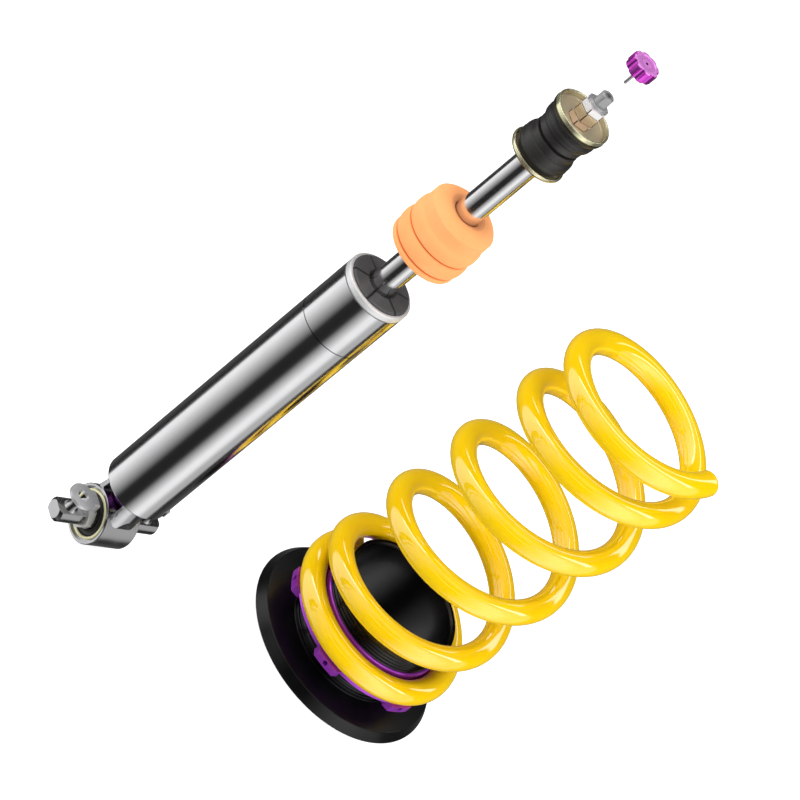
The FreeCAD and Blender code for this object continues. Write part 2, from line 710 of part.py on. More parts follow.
def bump_stop():
    """Foam bump stop: lip, bulge and waist below, shoulder and barrel above, funnelled round the rod."""
    z = BUMP_BOTTOM
    top = z + BUMP_HEIGHT
    bore = ROD_R + CLEAR
    low_groove = (BUMP_LIP_HEIGHT + BUMP_BULGE_HEIGHT) / 2 - BUMP_GROOVE_WIDTH
    waist = BUMP_WAIST_HEIGHT
    half = BUMP_GROOVE_WIDTH / 2
    rounding = BUMP_TOP_ROUND
    mid_bulge = (BUMP_BULGE_R + BUMP_WAIST_R) / 2
    return turned([
        (bore, z), (BUMP_FOOT_R, z), ((BUMP_LIP_R - 0.5, z + 0.9), (BUMP_LIP_R, z + BUMP_LIP_HEIGHT * 0.5)),
        ((BUMP_LIP_R - 0.1, z + BUMP_LIP_HEIGHT * 0.8), (BUMP_LIP_R - 0.6, z + BUMP_LIP_HEIGHT)),
        (BUMP_GROOVE_R, z + low_groove + half), (BUMP_GROOVE_R, z + low_groove + 3 * half),
        ((BUMP_BULGE_R, z + BUMP_BULGE_HEIGHT), (mid_bulge, z + BUMP_BULGE_HEIGHT + 3.4)),
        (BUMP_WAIST_R, z + waist - half), (BUMP_WAIST_R, z + waist + half),
        ((BUMP_SHOULDER_R - 0.3, z + waist + 4.0), (BUMP_SHOULDER_R, z + BUMP_SHOULDER_HEIGHT)),
        ((BUMP_SHOULDER_R - 0.2, z + BUMP_BARREL_HEIGHT - 2.8), (BUMP_BARREL_R, z + BUMP_BARREL_HEIGHT)),
        (BUMP_BARREL_R, top - rounding),
        ((BUMP_TOP_R + (BUMP_BARREL_R - BUMP_TOP_R) * 0.7, top - rounding * 0.25), (BUMP_TOP_R, top)),
        (BUMP_FUNNEL_R, top),
        ((bore + 1.5, top - BUMP_FUNNEL_DEPTH * 0.45), (bore, top - BUMP_FUNNEL_DEPTH)),
    ])


def dished_washer(low, rise):
    """Pressed washer: flat floor, round bend and upright wall with a round lip."""
    bore = STUD_R + FIT
    floor = low + DISH_SHEET
    top = low + rise
    half = DISH_SHEET / 2
    diagonal = math.sqrt(0.5)
    centre_r = DISH_R - DISH_BEND
    centre_z = low + DISH_BEND
    outer = DISH_BEND * diagonal
    inner_r = DISH_BEND - DISH_SHEET
    inner = inner_r * diagonal
    return turned([
        (bore, low), (centre_r, low), ((centre_r + outer, centre_z - outer), (DISH_R, centre_z)),
        (DISH_R, top - half), ((DISH_R - half, top), (DISH_R - DISH_SHEET, top - half)),
        (DISH_R - DISH_SHEET, centre_z), ((centre_r + inner, centre_z - inner), (centre_r, floor)),
        (bore, floor),
    ])


def lower_bush():
    """Lower rubber: foot in the dish, beaded middle, neck under the body panel and half its groove."""
    bore = SPACER_R + FIT
    low = RUBBER_BOTTOM
    groove = RUBBER_SPLIT - PANEL_GROOVE / 2
    bead_low = low + LOWER_RUBBER * 0.36
    bead_high = bead_low + RUBBER_BEAD * 1.6
    edge = RUBBER_EDGE
    return turned([
        (bore, low), (RUBBER_FOOT_IN_R, low), (RUBBER_FOOT_R, low + RUBBER_FOOT_HEIGHT),
        ((RUBBER_R - 0.5, low + RUBBER_FOOT_HEIGHT + edge), (RUBBER_R, bead_low + 1.2)),
        ((RUBBER_R + 0.1, (bead_low + bead_high) / 2 + 0.6), (RUBBER_R - 0.6, bead_high)),
        (RUBBER_NECK_R + 0.2, bead_high + edge), (RUBBER_NECK_R - 0.3, groove - edge),
        ((RUBBER_NECK_R - 0.6, groove - edge * 0.3), (RUBBER_NECK_R - 0.3 - edge, groove)),
        (PANEL_GROOVE_R, groove), (PANEL_GROOVE_R, RUBBER_SPLIT), (bore, RUBBER_SPLIT),
    ])


def upper_bush():
    """Upper rubber: half the panel groove, neck, beaded band and a plain collar under the washer."""
    bore = SPACER_R + FIT
    groove = RUBBER_SPLIT + PANEL_GROOVE / 2
    bead_low = RUBBER_SPLIT + UPPER_RUBBER * 0.453
    bead_high = bead_low + RUBBER_BEAD * 1.5
    edge = RUBBER_EDGE
    return turned([
        (bore, RUBBER_SPLIT), (PANEL_GROOVE_R, RUBBER_SPLIT), (PANEL_GROOVE_R, groove),
        (RUBBER_NECK_R - 0.3 - edge, groove),
        ((RUBBER_NECK_R - 0.6, groove + edge * 0.3), (RUBBER_NECK_R - 0.3, groove + edge)),
        (RUBBER_NECK_R + 0.3, bead_low - edge),
        ((RUBBER_R - 0.4, bead_low), (RUBBER_R, (bead_low + bead_high) / 2)),
        ((RUBBER_R - 0.1, bead_high - 0.5), (RUBBER_R - 0.6, bead_high)),
        (RUBBER_NECK_R + 0.4, bead_high + edge), (RUBBER_NECK_R + 0.2, RUBBER_TOP - edge),
        (RUBBER_NECK_R + 0.2 - edge, RUBBER_TOP), (bore, RUBBER_TOP),
    ])


def spacer_tube():
    """Crush tube between the two dished washers."""
    return tube(SPACER_R, STUD_R + FIT, RUBBER_BOTTOM, RUBBER_TOP)


def stud_nut(low, height, turn):
    """Hexagonal nut with bevelled corners, on the stud."""
    flat = NUT_ACROSS / 2
    corner = flat / math.cos(math.pi / 6)
    high = low + height
    blank = turned([
        (STUD_R + FIT, low), (flat, low), (corner, low + NUT_BEVEL), (corner, high - NUT_BEVEL),
        (flat, high), (STUD_R + FIT, high),
    ])
    return blank.common(hexagon(NUT_ACROSS, low, high, turn))


def nut_collar():
    """Crimped locking collar of the upper nut."""
    high = COLLAR_BOTTOM + NUT_COLLAR
    edge = NUT_COLLAR * 0.45
    return turned([
        (STUD_R + FIT, COLLAR_BOTTOM), (NUT_COLLAR_R, COLLAR_BOTTOM), (NUT_COLLAR_R, high - edge),
        (NUT_COLLAR_R - edge, high), (STUD_R + FIT, high),
    ])


def rebound_spindle():
    """Long spindle down the rod: key socket at the top, metering needle at the bottom."""
    floor = SPINDLE_TOP - SOCKET_DEPTH
    point = SPINDLE_R * 0.35
    return turned([
        (0, SPINDLE_BOTTOM), (point, SPINDLE_BOTTOM), (SPINDLE_R, SPINDLE_BOTTOM + SPINDLE_NEEDLE),
        (SPINDLE_R, SPINDLE_TOP), (SOCKET_R, SPINDLE_TOP), (SOCKET_R, floor), (0, floor),
    ])


def adjuster_knob():
    """Fluted hand knob with rounded rims and a shallow dished face."""
    top = KNOB_BOTTOM + KNOB_HEIGHT
    bore = KEY_R + FIT
    rounding = KNOB_ROUND
    knob = turned([
        (bore, KNOB_BOTTOM), (KNOB_R - rounding, KNOB_BOTTOM),
        ((KNOB_R - rounding * 0.3, KNOB_BOTTOM + rounding * 0.3), (KNOB_R, KNOB_BOTTOM + rounding)),
        (KNOB_R, top - rounding),
        ((KNOB_R - rounding * 0.3, top - rounding * 0.3), (KNOB_R - rounding, top)),
        (KNOB_FACE_R, top), (KNOB_FACE_R - KNOB_FACE_DEPTH, top - KNOB_FACE_DEPTH),
        (bore, top - KNOB_FACE_DEPTH),
    ])
    return fluted(knob, KNOB_R, KNOB_LOBES, KNOB_FLUTE_R, KNOB_FLUTE_DEPTH, KNOB_BOTTOM, top)


def knob_key():
    """Steel key held in the knob."""
    low = KNOB_BOTTOM - KEY_LENGTH
    high = KNOB_BOTTOM + KEY_GRIP
    edge = KEY_R * 0.3
    return turned([(0, low), (KEY_R - edge, low), (KEY_R, low + edge), (KEY_R, high), (0, high)])


def at_perch(shape):
    """Moves a shape made about Z to the axis of the spring unit."""
    shape.translate(Vector(PERCH_X, PERCH_Y, 0))
    return shape


def perch_sleeve():
    """Spring perch: tapered flange, low collar and the sleeve that the ring climbs."""
    edge = HUB_EDGE
    relief_r = SLEEVE_R - SLEEVE_RELIEF
    return at_perch(turned([
        (SLEEVE_BORE_R, PERCH_BOTTOM), (FLANGE_R - FLANGE_EDGE, PERCH_BOTTOM),
        (FLANGE_R, PERCH_BOTTOM + FLANGE_EDGE), (FLANGE_TOP_R + FLANGE_EDGE, FLANGE_TOP - FLANGE_EDGE),
        (FLANGE_TOP_R, FLANGE_TOP), (HUB_R + edge, FLANGE_TOP), (HUB_R, FLANGE_TOP + edge),
        (HUB_R, HUB_TOP - edge), (HUB_R - edge, HUB_TOP), (SLEEVE_R, HUB_TOP), (SLEEVE_R, THREAD_TOP),
        (relief_r, THREAD_TOP + SLEEVE_RELIEF), (relief_r, SLEEVE_TOP - edge),
        ((relief_r - edge * 0.3, SLEEVE_TOP - edge * 0.3), (relief_r - edge, SLEEVE_TOP)),
        (SLEEVE_BORE_R + SLEEVE_MOUTH * 0.5, SLEEVE_TOP), (SLEEVE_BORE_R, SLEEVE_TOP - SLEEVE_MOUTH),
    ]))


def adjuster_ring():
    """Adjuster ring: threaded body with bored lugs, spring seat flange and centring lip."""
    bore = SLEEVE_R + RUN
    lip_bore = SLEEVE_R + CLEAR
    lip_r = lip_bore + LIP_WALL
    lip_top = SEAT + LIP_HEIGHT
    edge = HUB_EDGE
    body = turned([
        (bore, RING_LOW), (RING_BODY_R, RING_LOW), (RING_BODY_R, SEAT - RING_FLANGE),
        (RING_FLANGE_R, SEAT - RING_FLANGE), (RING_FLANGE_R, SEAT), (lip_r, SEAT), (lip_r, lip_top - edge),
        (lip_r - edge, lip_top), (lip_bore, lip_top), (lip_bore, SEAT), (bore, SEAT),
    ])
    half = LUG_WIDTH / 2
    root = RING_BODY_R - LUG_ROOT
    shoulder = RING_FLANGE_R * math.cos(half / RING_FLANGE_R)
    low = RING_LOW + LUG_RISE
    high = SEAT - LUG_DROP
    plan = [(root, -half), (shoulder, -half), (LUG_R, LUG_BEVEL - half), (LUG_R, half - LUG_BEVEL),
            (shoulder, half), (root, half), (root, -half)]
    lug = Part.Face(Part.makePolygon([Vector(x, y, low) for x, y in plan])).extrude(Vector(0, 0, high - low))
    lug = lug.common(Part.makeCylinder(LUG_R, high))
    hole_foot = Vector(root, 0, high - LUG_HOLE_R - edge)
    hole = Part.makeCylinder(LUG_HOLE_R, LUG_R, hole_foot, Vector(1, 0, 0))
    ring = body.fuse(around(lug, LUG_COUNT, LUG_FIRST)).removeSplitter()
    return at_perch(ring.cut(around(hole, LUG_COUNT, LUG_FIRST)))


def ramp(turn, start, span):
    """Rise from 0 to 1 over span turns, integrated from the foot of the wire up to turn."""
    if turn <= start:
        return 0.0
    if turn >= start + span:
        return span / 2 + turn - start - span
    return (turn - start) ** 2 / span / 2


def coil_height(turn):
    """Height of the wire's centre: flat end coil, two pitches eased into, and a closer top coil."""
    rise = COIL_FIRST_PITCH * ramp(turn, COIL_FLAT, COIL_RAMP)
    rise += (COIL_PITCH - COIL_FIRST_PITCH) * ramp(turn, COIL_SECOND, COIL_RAMP)
    rise += (COIL_LAST_PITCH - COIL_PITCH) * ramp(turn, COIL_EASE, COIL_EASE_TURNS)
    return SEAT + CLEAR + WIRE_R + rise


def coil_point(turn):
    angle = math.radians(COIL_START + 360 * turn)
    x = PERCH_X + COIL_R * math.cos(angle)
    y = PERCH_Y + COIL_R * math.sin(angle)
    return Vector(x, y, coil_height(turn))


def coil_tangent(turn):
    step = 1e-4
    return (coil_point(turn + step) - coil_point(turn - step)).normalize()


def tangent_arc(start, corner, end):
    """Arc from start to end whose end tangents meet at corner."""
    middle = (start + end) * 0.5
    cosine = (end - start).Length / 2 / (corner - start).Length
    return Part.Arc(start, middle + (corner - middle) * (cosine / (1 + cosine)), end).toShape()


def biarc(start, start_tangent, end, end_tangent):
    """Two arcs with a common tangent between two points with given directions."""
    chord = end - start
    reach = chord.dot(start_tangent + end_tangent)
    spread = 2 * (1 - start_tangent.dot(end_tangent))
    arm = (math.sqrt(reach * reach + spread * chord.dot(chord)) - reach) / spread
    first = start + start_tangent * arm
    second = end - end_tangent * arm
    joint = (first + second) * 0.5
    return [tangent_arc(start, first, joint), tangent_arc(joint, second, end)]


def coil_spring():
    """Wound spring: one round wire carried along biarcs of a quarter turn each."""
    spans = round(COIL_TURNS * 4)
    arcs = []
    for k in range(spans):
        a = COIL_TURNS * k / spans
        b = COIL_TURNS * (k + 1) / spans
        arcs += biarc(coil_point(a), coil_tangent(a), coil_point(b), coil_tangent(b))
    path = Part.Wire(arcs)
    section = Part.Wire([Part.makeCircle(WIRE_R, coil_point(0), coil_tangent(0))])
    spring = path.makePipeShell([section], True, False)
    ratio = spring.Volume / (math.pi * WIRE_R ** 2 * path.Length)
    tightest = min(arc.Curve.Radius for arc in arcs)
    print("coil spring: tightest arc %.1f mm, volume ratio %.4f" % (tightest, ratio))
    print("coil spring: least gap to itself %.2f mm" % coil_gap())
    return spring


def coil_gap():
    """Least distance from the wire to its own next turn, measured on points of its centre line."""
    per_turn = 120
    count = int(COIL_TURNS * per_turn)
    centres = [coil_point(k / per_turn) for k in range(count + 1)]
    least = COIL_R
    for i in range(count - per_turn // 2):
        for j in range(i + per_turn // 2, min(i + 2 * per_turn, count + 1)):
            least = min(least, (centres[i] - centres[j]).Length - 2 * WIRE_R)
    return least


PARTS = {
    "cross_pin": cross_pin,
    "bolt_keeper": bolt_keeper,
    "bush_core": bush_core,
    "bush_rubber": bush_rubber,
    "bush_sleeve": bush_sleeve,
    "eye_yoke": eye_yoke,
    "bottom_cap": bottom_cap,
    "outer_tube": outer_tube,
    "gas_plug": gas_plug,
    "closing_ring": closing_ring,
    "top_cap": top_cap,
    "pressure_tube": pressure_tube,
    "foot_valve": foot_valve,
    "foot_shims": foot_shims,
    "rod_guide": rod_guide,
    "guide_bush": guide_bush,
    "rod_seal": rod_seal,
    "rod_wiper": rod_wiper,
    "compression_wheel": compression_wheel,
    "compression_stem": compression_stem,
    "piston_rod": piston_rod,
    "piston": piston,
    "piston_band": piston_band,
    "compression_shims": compression_shims,
    "rebound_shims": rebound_shims,
    "piston_nut": piston_nut,
    "rebound_stop": rebound_stop,
    "bump_stop": bump_stop,
    "lower_washer": lambda: dished_washer(ROD_SHOULDER, LOWER_DISH_RISE),
    "lower_bush": lower_bush,
    "spacer_tube": spacer_tube,
    "upper_bush": upper_bush,
    "upper_washer": lambda: dished_washer(RUBBER_TOP, UPPER_DISH_RISE),
    "thin_nut": lambda: stud_nut(THIN_NUT_BOTTOM, THIN_NUT, 32),
    "clamp_nut": lambda: stud_nut(CLAMP_NUT_BOTTOM, CLAMP_NUT, 38),
    "lock_nut": lambda: stud_nut(LOCK_NUT_BOTTOM, LOCK_NUT, 34),
    "nut_collar": nut_collar,
    "rebound_spindle": rebound_spindle,
    "adjuster_knob": adjuster_knob,
    "knob_key": knob_key,
    "perch_sleeve": perch_sleeve,
    "adjuster_ring": adjuster_ring,
    "coil_spring": coil_spring,
}


def main():
    os.makedirs("parts", exist_ok=True)
    for name, make in PARTS.items():
        shape = make()
        if not shape.isValid() or len(shape.Solids) != 1:
            print(name, "valid", shape.isValid(), "solids", len(shape.Solids))
        shape.exportStep("parts/" + name + ".step")


main()
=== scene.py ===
import math

import bmesh
import bpy
import numpy as np
from mathutils import Matrix, Vector


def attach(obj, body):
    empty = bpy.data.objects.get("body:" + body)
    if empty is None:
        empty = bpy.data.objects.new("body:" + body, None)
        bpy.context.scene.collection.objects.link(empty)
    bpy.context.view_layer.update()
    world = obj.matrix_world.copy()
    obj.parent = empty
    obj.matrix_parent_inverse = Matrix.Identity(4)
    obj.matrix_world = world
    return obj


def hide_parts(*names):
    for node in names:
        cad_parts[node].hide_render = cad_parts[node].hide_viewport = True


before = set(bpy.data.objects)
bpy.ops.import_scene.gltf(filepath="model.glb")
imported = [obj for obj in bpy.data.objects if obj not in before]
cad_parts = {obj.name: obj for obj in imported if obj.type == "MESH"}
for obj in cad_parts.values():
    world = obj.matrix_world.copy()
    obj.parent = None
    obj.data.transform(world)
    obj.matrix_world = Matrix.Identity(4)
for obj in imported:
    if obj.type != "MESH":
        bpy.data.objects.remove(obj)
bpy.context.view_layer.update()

MM = 0.001
PERCH = (232.7, -71.6)  # upright axis of the spring unit, in millimetres
FLOOR_HEIGHT = -22.6


# Camera: the photograph's own place, roll and focal length

ELEVATION = math.radians(33.86)
BEARING = math.radians(57.0)
ROLL = math.radians(51.27)
DISTANCE = 2540.34 * MM
FOCAL_PIXELS = 3658.2
FRAME_PIXELS = 800.0
AIM_HEIGHT = 200.0 * MM
AIM_RIGHT = -84.82 * MM
AIM_UP = 19.90 * MM


def camera_axes():
    """Unit vectors from the object to the camera, along the picture's right and along its top."""
    back = Vector((-math.cos(ELEVATION) * math.sin(BEARING), -math.cos(ELEVATION) * math.cos(BEARING),
                   math.sin(ELEVATION)))
    level = level_ways()[1]
    rise = back.cross(level)
    right = level * math.cos(ROLL) + rise * math.sin(ROLL)
    top = rise * math.cos(ROLL) - level * math.sin(ROLL)
    return back, right, top


def level_ways():
    """Level unit vectors from the object towards the camera, and along the picture's width before its roll."""
    forward = Vector((-math.sin(BEARING), -math.cos(BEARING), 0.0))
    sideways = Vector((math.cos(BEARING), -math.sin(BEARING), 0.0))
    return forward, sideways


def place_camera():
    """Puts the camera where the photograph was taken from, rolled as it was."""
    back, right, top = camera_axes()
    aim = Vector((0, 0, AIM_HEIGHT)) - right * AIM_RIGHT - top * AIM_UP
    data = bpy.data.cameras.new("photo_camera")
    data.sensor_fit = "HORIZONTAL"
    data.sensor_width = 36.0
    data.lens = FOCAL_PIXELS / FRAME_PIXELS * data.sensor_width
    data.clip_start = 0.05
    data.clip_end = 30.0
    camera = bpy.data.objects.new("photo_camera", data)
    bpy.context.scene.collection.objects.link(camera)
    turn = Matrix((right, top, back)).transposed()
    camera.matrix_world = Matrix.Translation(aim + back * DISTANCE) @ turn.to_4x4()
    bpy.context.scene.camera = camera


# Helpers for shader nodes

def srgb(red, green, blue):
    """Colour written as it is seen on a screen, 0 to 255, turned to linear light."""
    out = []
    for value in (red, green, blue):
        value = value / 255.0
        out.append(value / 12.92 if value <= 0.04045 else ((value + 0.055) / 1.055) ** 2.4)
    return (*out, 1.0)


def add(tree, kind, inputs=None, **settings):
    """Adds a node, sets its properties, and fills its sockets with values or links."""
    node = tree.nodes.new(kind)
    for key, value in settings.items():
        setattr(node, key, value)
    for key, value in (inputs or {}).items():
        if isinstance(value, bpy.types.NodeSocket):
            tree.links.new(value, node.inputs[key])
        else:
            node.inputs[key].default_value = value
    return node


def calc(tree, operation, a, b=0.0, c=0.0):
    """One step of arithmetic."""
    node = add(tree, "ShaderNodeMath", {0: a, 1: b, 2: c}, operation=operation)
    return node.outputs[0]


def spread(tree, value, low, high, to_low=0.0, to_high=1.0, smooth=False):
    """Maps low..high to to_low..to_high and holds it there beyond."""
    kind = "SMOOTHSTEP" if smooth else "LINEAR"
    node = add(tree, "ShaderNodeMapRange", {
        "Value": value, "From Min": low, "From Max": high, "To Min": to_low, "To Max": to_high,
    }, interpolation_type=kind)
    return node.outputs["Result"]


def rises(tree, value, low, high):
    """Share that grows from 0 to 1 between two lengths in millimetres."""
    return spread(tree, value, low * MM, high * MM)


def falls(tree, value, low, high):
    """Share that drops from 1 to 0 between two lengths in millimetres."""
    return spread(tree, value, low * MM, high * MM, 1.0, 0.0)


def off(tree, value, mark):
    """How far a value lies from a mark, either way."""
    return calc(tree, "ABSOLUTE", calc(tree, "SUBTRACT", value, mark))


def times(tree, first, second):
    """Product of two values."""
    return calc(tree, "MULTIPLY", first, second)


def most(tree, first, second):
    """Larger of two values."""
    return calc(tree, "MAXIMUM", first, second)


def weigh(tree, first, weight, second, other_weight):
    """Sum of two values, each by its weight."""
    return calc(tree, "MULTIPLY_ADD", first, weight, times(tree, second, other_weight))


def blend_colours(tree, share, first, second):
    """Colour between two colours by a share."""
    node = add(tree, "ShaderNodeMix", {0: share, 6: first, 7: second}, data_type="RGBA")
    return node.outputs[2]


def new_group(name, inputs, outputs):
    """Empty shader node group with named sockets, and its input and output nodes."""
    group = bpy.data.node_groups.new(name, "ShaderNodeTree")
    for label, kind, default in inputs:
        socket = group.interface.new_socket(label, in_out="INPUT", socket_type=kind)
        if default is not None:
            socket.default_value = default
    for label, kind in outputs:
        group.interface.new_socket(label, in_out="OUTPUT", socket_type=kind)
    start = group.nodes.new("NodeGroupInput")
    end = group.nodes.new("NodeGroupOutput")
    return group, start, end


def make_drawn_lines():
    """Fine parallel lines left by polishing or turning: noise squeezed by the Stretch vector."""
    group, start, end = new_group("drawn_lines", [
        ("Vector", "NodeSocketVector", None), ("Stretch", "NodeSocketVector", (1.0, 1.0, 1.0)),
    ], [("Lines", "NodeSocketFloat"), ("Bands", "NodeSocketFloat")])
    place = add(group, "ShaderNodeVectorMath", {0: start.outputs["Vector"], 1: start.outputs["Stretch"]},
                operation="MULTIPLY")
    fine = add(group, "ShaderNodeTexNoise", {
        "Vector": place.outputs[0], "Scale": 1.0, "Detail": 3.0, "Roughness": 0.65})
    broad = add(group, "ShaderNodeTexNoise", {
        "Vector": place.outputs[0], "Scale": 0.16, "Detail": 2.0, "Roughness": 0.5})
    group.links.new(spread(group, fine.outputs["Fac"], 0.25, 0.75), end.inputs["Lines"])
    group.links.new(spread(group, broad.outputs["Fac"], 0.35, 0.65), end.inputs["Bands"])
    return group


def make_grain():
    """Even grain with slow mottling over it, each from 0 to 1, and tiny pits."""
    group, start, end = new_group("grain", [
        ("Vector", "NodeSocketVector", None), ("Scale", "NodeSocketFloat", 1000.0),
    ], [("Grain", "NodeSocketFloat"), ("Mottle", "NodeSocketFloat"), ("Pits", "NodeSocketFloat")])
    scale = start.outputs["Scale"]
    fine = add(group, "ShaderNodeTexNoise", {
        "Vector": start.outputs["Vector"], "Scale": scale, "Detail": 4.0, "Roughness": 0.6})
    slow = add(group, "ShaderNodeTexNoise", {
        "Vector": start.outputs["Vector"], "Scale": calc(group, "MULTIPLY", scale, 0.045),
        "Detail": 3.0, "Roughness": 0.5})
    cells = add(group, "ShaderNodeTexVoronoi", {
        "Vector": start.outputs["Vector"], "Scale": calc(group, "MULTIPLY", scale, 0.5)})
    group.links.new(spread(group, fine.outputs["Fac"], 0.3, 0.7), end.inputs["Grain"])
    group.links.new(spread(group, slow.outputs["Fac"], 0.32, 0.68), end.inputs["Mottle"])
    group.links.new(spread(group, cells.outputs["Distance"], 0.0, 0.25, 1.0, 0.0), end.inputs["Pits"])
    return group


def make_plating_film():
    """Thin coloured film of a zinc passivate: two shares that drift slowly over the surface."""
    group, start, end = new_group("plating_film", [
        ("Vector", "NodeSocketVector", None), ("Scale", "NodeSocketFloat", 60.0),
    ], [("Green", "NodeSocketFloat"), ("Rose", "NodeSocketFloat")])
    first = add(group, "ShaderNodeTexNoise", {
        "Vector": start.outputs["Vector"], "Scale": start.outputs["Scale"], "Detail": 2.0,
        "Distortion": 0.6})
    moved = add(group, "ShaderNodeVectorMath", {0: start.outputs["Vector"], 1: (0.31, 0.17, 0.23)},
                operation="ADD")
    second = add(group, "ShaderNodeTexNoise", {
        "Vector": moved.outputs[0], "Scale": start.outputs["Scale"], "Detail": 2.0, "Distortion": 0.6})
    group.links.new(spread(group, first.outputs["Fac"], 0.45, 0.7), end.inputs["Green"])
    group.links.new(spread(group, second.outputs["Fac"], 0.5, 0.75), end.inputs["Rose"])
    return group


DRAWN_LINES = make_drawn_lines()
GRAIN = make_grain()
PLATING_FILM = make_plating_film()


def use(tree, group, inputs):
    """Places a shared group in a material."""
    return add(tree, "ShaderNodeGroup", inputs, node_tree=group).outputs


def begin(name):
    """New material with its Object coordinates and its Principled shader."""
    material = bpy.data.materials.new(name)
    material.use_nodes = True
    tree = material.node_tree
    tree.nodes.clear()
    place = tree.nodes.new("ShaderNodeTexCoord").outputs["Object"]
    shader = tree.nodes.new("ShaderNodeBsdfPrincipled")
    out = tree.nodes.new("ShaderNodeOutputMaterial")
    tree.links.new(shader.outputs[0], out.inputs["Surface"])
    return material, tree, place, shader


def bump(tree, shader, height, depth):
    """Raises the surface by a height mask; depth is in millimetres."""
    node = add(tree, "ShaderNodeBump", {"Height": height, "Distance": depth * MM, "Strength": 1.0})
    tree.links.new(node.outputs[0], shader.inputs["Normal"])


def paint(tree, shader, colour, rough, metal=None):
    """Gives a shader its colour and roughness, and its metal share as a number or a mask."""
    tree.links.new(colour, shader.inputs["Base Color"])
    tree.links.new(rough, shader.inputs["Roughness"])
    if isinstance(metal, bpy.types.NodeSocket):
        tree.links.new(metal, shader.inputs["Metallic"])
    elif metal is not None:
        shader.inputs["Metallic"].default_value = metal


def between(tree, mask, low, high):
    """Number from low to high by a mask from 0 to 1."""
    return spread(tree, mask, 0.0, 1.0, low, high)


def height_of(tree, place):
    """Height of a point."""
    return add(tree, "ShaderNodeSeparateXYZ", {0: place}).outputs["Z"]


def from_axis(tree, place):
    """Distance of a point from the damper's upright axis, and its height."""
    parts = add(tree, "ShaderNodeSeparateXYZ", {0: place}).outputs
    square = calc(tree, "MULTIPLY_ADD", parts["X"], parts["X"], times(tree, parts["Y"], parts["Y"]))
    return calc(tree, "SQRT", square), parts["Z"]


def mix_values(tree, share, first, second):
    """Number between two numbers by a share."""
    return add(tree, "ShaderNodeMix", {0: share, 2: first, 3: second}, data_type="FLOAT").outputs[0]


# Finishes

# Scale of the grain on handled steel, on plating and under a dye
HAND_GRAIN = 1400.0
PLATE_GRAIN = 1600.0
DYE_GRAIN = 1800.0

# Heights and distances from the axis where a finish changes, in millimetres
SEAM_HEIGHT = 261.0
FOAM_CREASES = (359.2, 373.4)
FOAM_MOUTH = 396.0
STUD_FOOT = 467.0
LOWER_WASHER_FOOT = 468.9
MOUNT_MIDDLE = 490.5
UPPER_WASHER_BEND = 512.1
WASHER_LIP_R = 20.2
NUT_CORNER_R = 9.5
KNOB_FACE = 573.9
GLOSS_FROM = -12.0
GLOSS_R = 49.0

SEAM_SHADE = (0.04, 0.04, 0.04, 1)
# Painted shade for the nuts' corners and feet
NUT_PAINTED_SHADE = (0.09, 0.06, 0.04, 1)
# Painted shade for the washers' bends and feet
WASHER_PAINTED_SHADE = (0.16, 0.14, 0.06, 1)


def ring_finish():
    """Brushed closing ring: a tone and a slightly darker shade along its turned lines."""
    material, tree, place, shader = begin("brushed_ring")
    lines = use(tree, DRAWN_LINES, {"Vector": place, "Stretch": (90.0, 90.0, 5200.0)})
    grain = use(tree, GRAIN, {"Vector": place, "Scale": HAND_GRAIN})
    share = weigh(tree, lines["Lines"], 0.5, grain["Mottle"], 0.5)
    colour = blend_colours(tree, share, (0.80, 0.80, 0.80, 1), (1.0, 1.0, 1.0, 1))
    mixed = weigh(tree, lines["Bands"], 0.6, grain["Mottle"], 0.4)
    paint(tree, shader, colour, between(tree, mixed, 0.36, 0.46), 0.6)
    bump(tree, shader, lines["Lines"], 0.01)
    return material


def tube_finish():
    """Polished steel of the tube: faint lines along it, and a dark hair line at its seam."""
    material, tree, place, shader = begin("polished_steel")
    lines = use(tree, DRAWN_LINES, {"Vector": place, "Stretch": (2600.0, 2600.0, 12.0)})
    grain = use(tree, GRAIN, {"Vector": place, "Scale": HAND_GRAIN})
    share = weigh(tree, lines["Lines"], 0.5, grain["Mottle"], 0.5)
    steel = blend_colours(tree, share, (0.80, 0.80, 0.81, 1), (0.86, 0.86, 0.87, 1))
    seam = falls(tree, off(tree, height_of(tree, place), SEAM_HEIGHT * MM), 0.25, 0.4)
    colour = blend_colours(tree, seam, steel, SEAM_SHADE)
    paint(tree, shader, colour, between(tree, lines["Bands"], 0.13, 0.18), 1.0)
    bump(tree, shader, lines["Lines"], 0.0008)
    return material


def machined_steel(name, tone, shade, rough, rough_more, depth, scale=900.0, metal=1.0):
    """Steel with an even fine grain, slightly mottled by handling and oil."""
    material, tree, place, shader = begin(name)
    grain = use(tree, GRAIN, {"Vector": place, "Scale": scale})
    colour = blend_colours(tree, weigh(tree, grain["Grain"], 0.35, grain["Mottle"], 0.65), shade, tone)
    paint(tree, shader, colour, between(tree, grain["Mottle"], rough, rough_more), metal)
    bump(tree, shader, grain["Grain"], depth)
    return material


def sleeve_finish():
    """Zinc of the bush sleeve, whose passivate drifts from gold to green and rose."""
    material, tree, place, shader = begin("sleeve_zinc")
    film = use(tree, PLATING_FILM, {"Vector": place, "Scale": 80.0})
    grain = use(tree, GRAIN, {"Vector": place, "Scale": PLATE_GRAIN})
    gold, green, rose = (0.98, 0.94, 0.58, 1), (0.93, 0.95, 0.58, 1), (0.98, 0.88, 0.62, 1)
    colour = blend_colours(tree, times(tree, film["Green"], 0.7), gold, green)
    colour = blend_colours(tree, times(tree, film["Rose"], 0.6), colour, rose)
    paint(tree, shader, colour, between(tree, grain["Mottle"], 0.3, 0.4), 0.5)
    bump(tree, shader, grain["Grain"], 0.006)
    return material


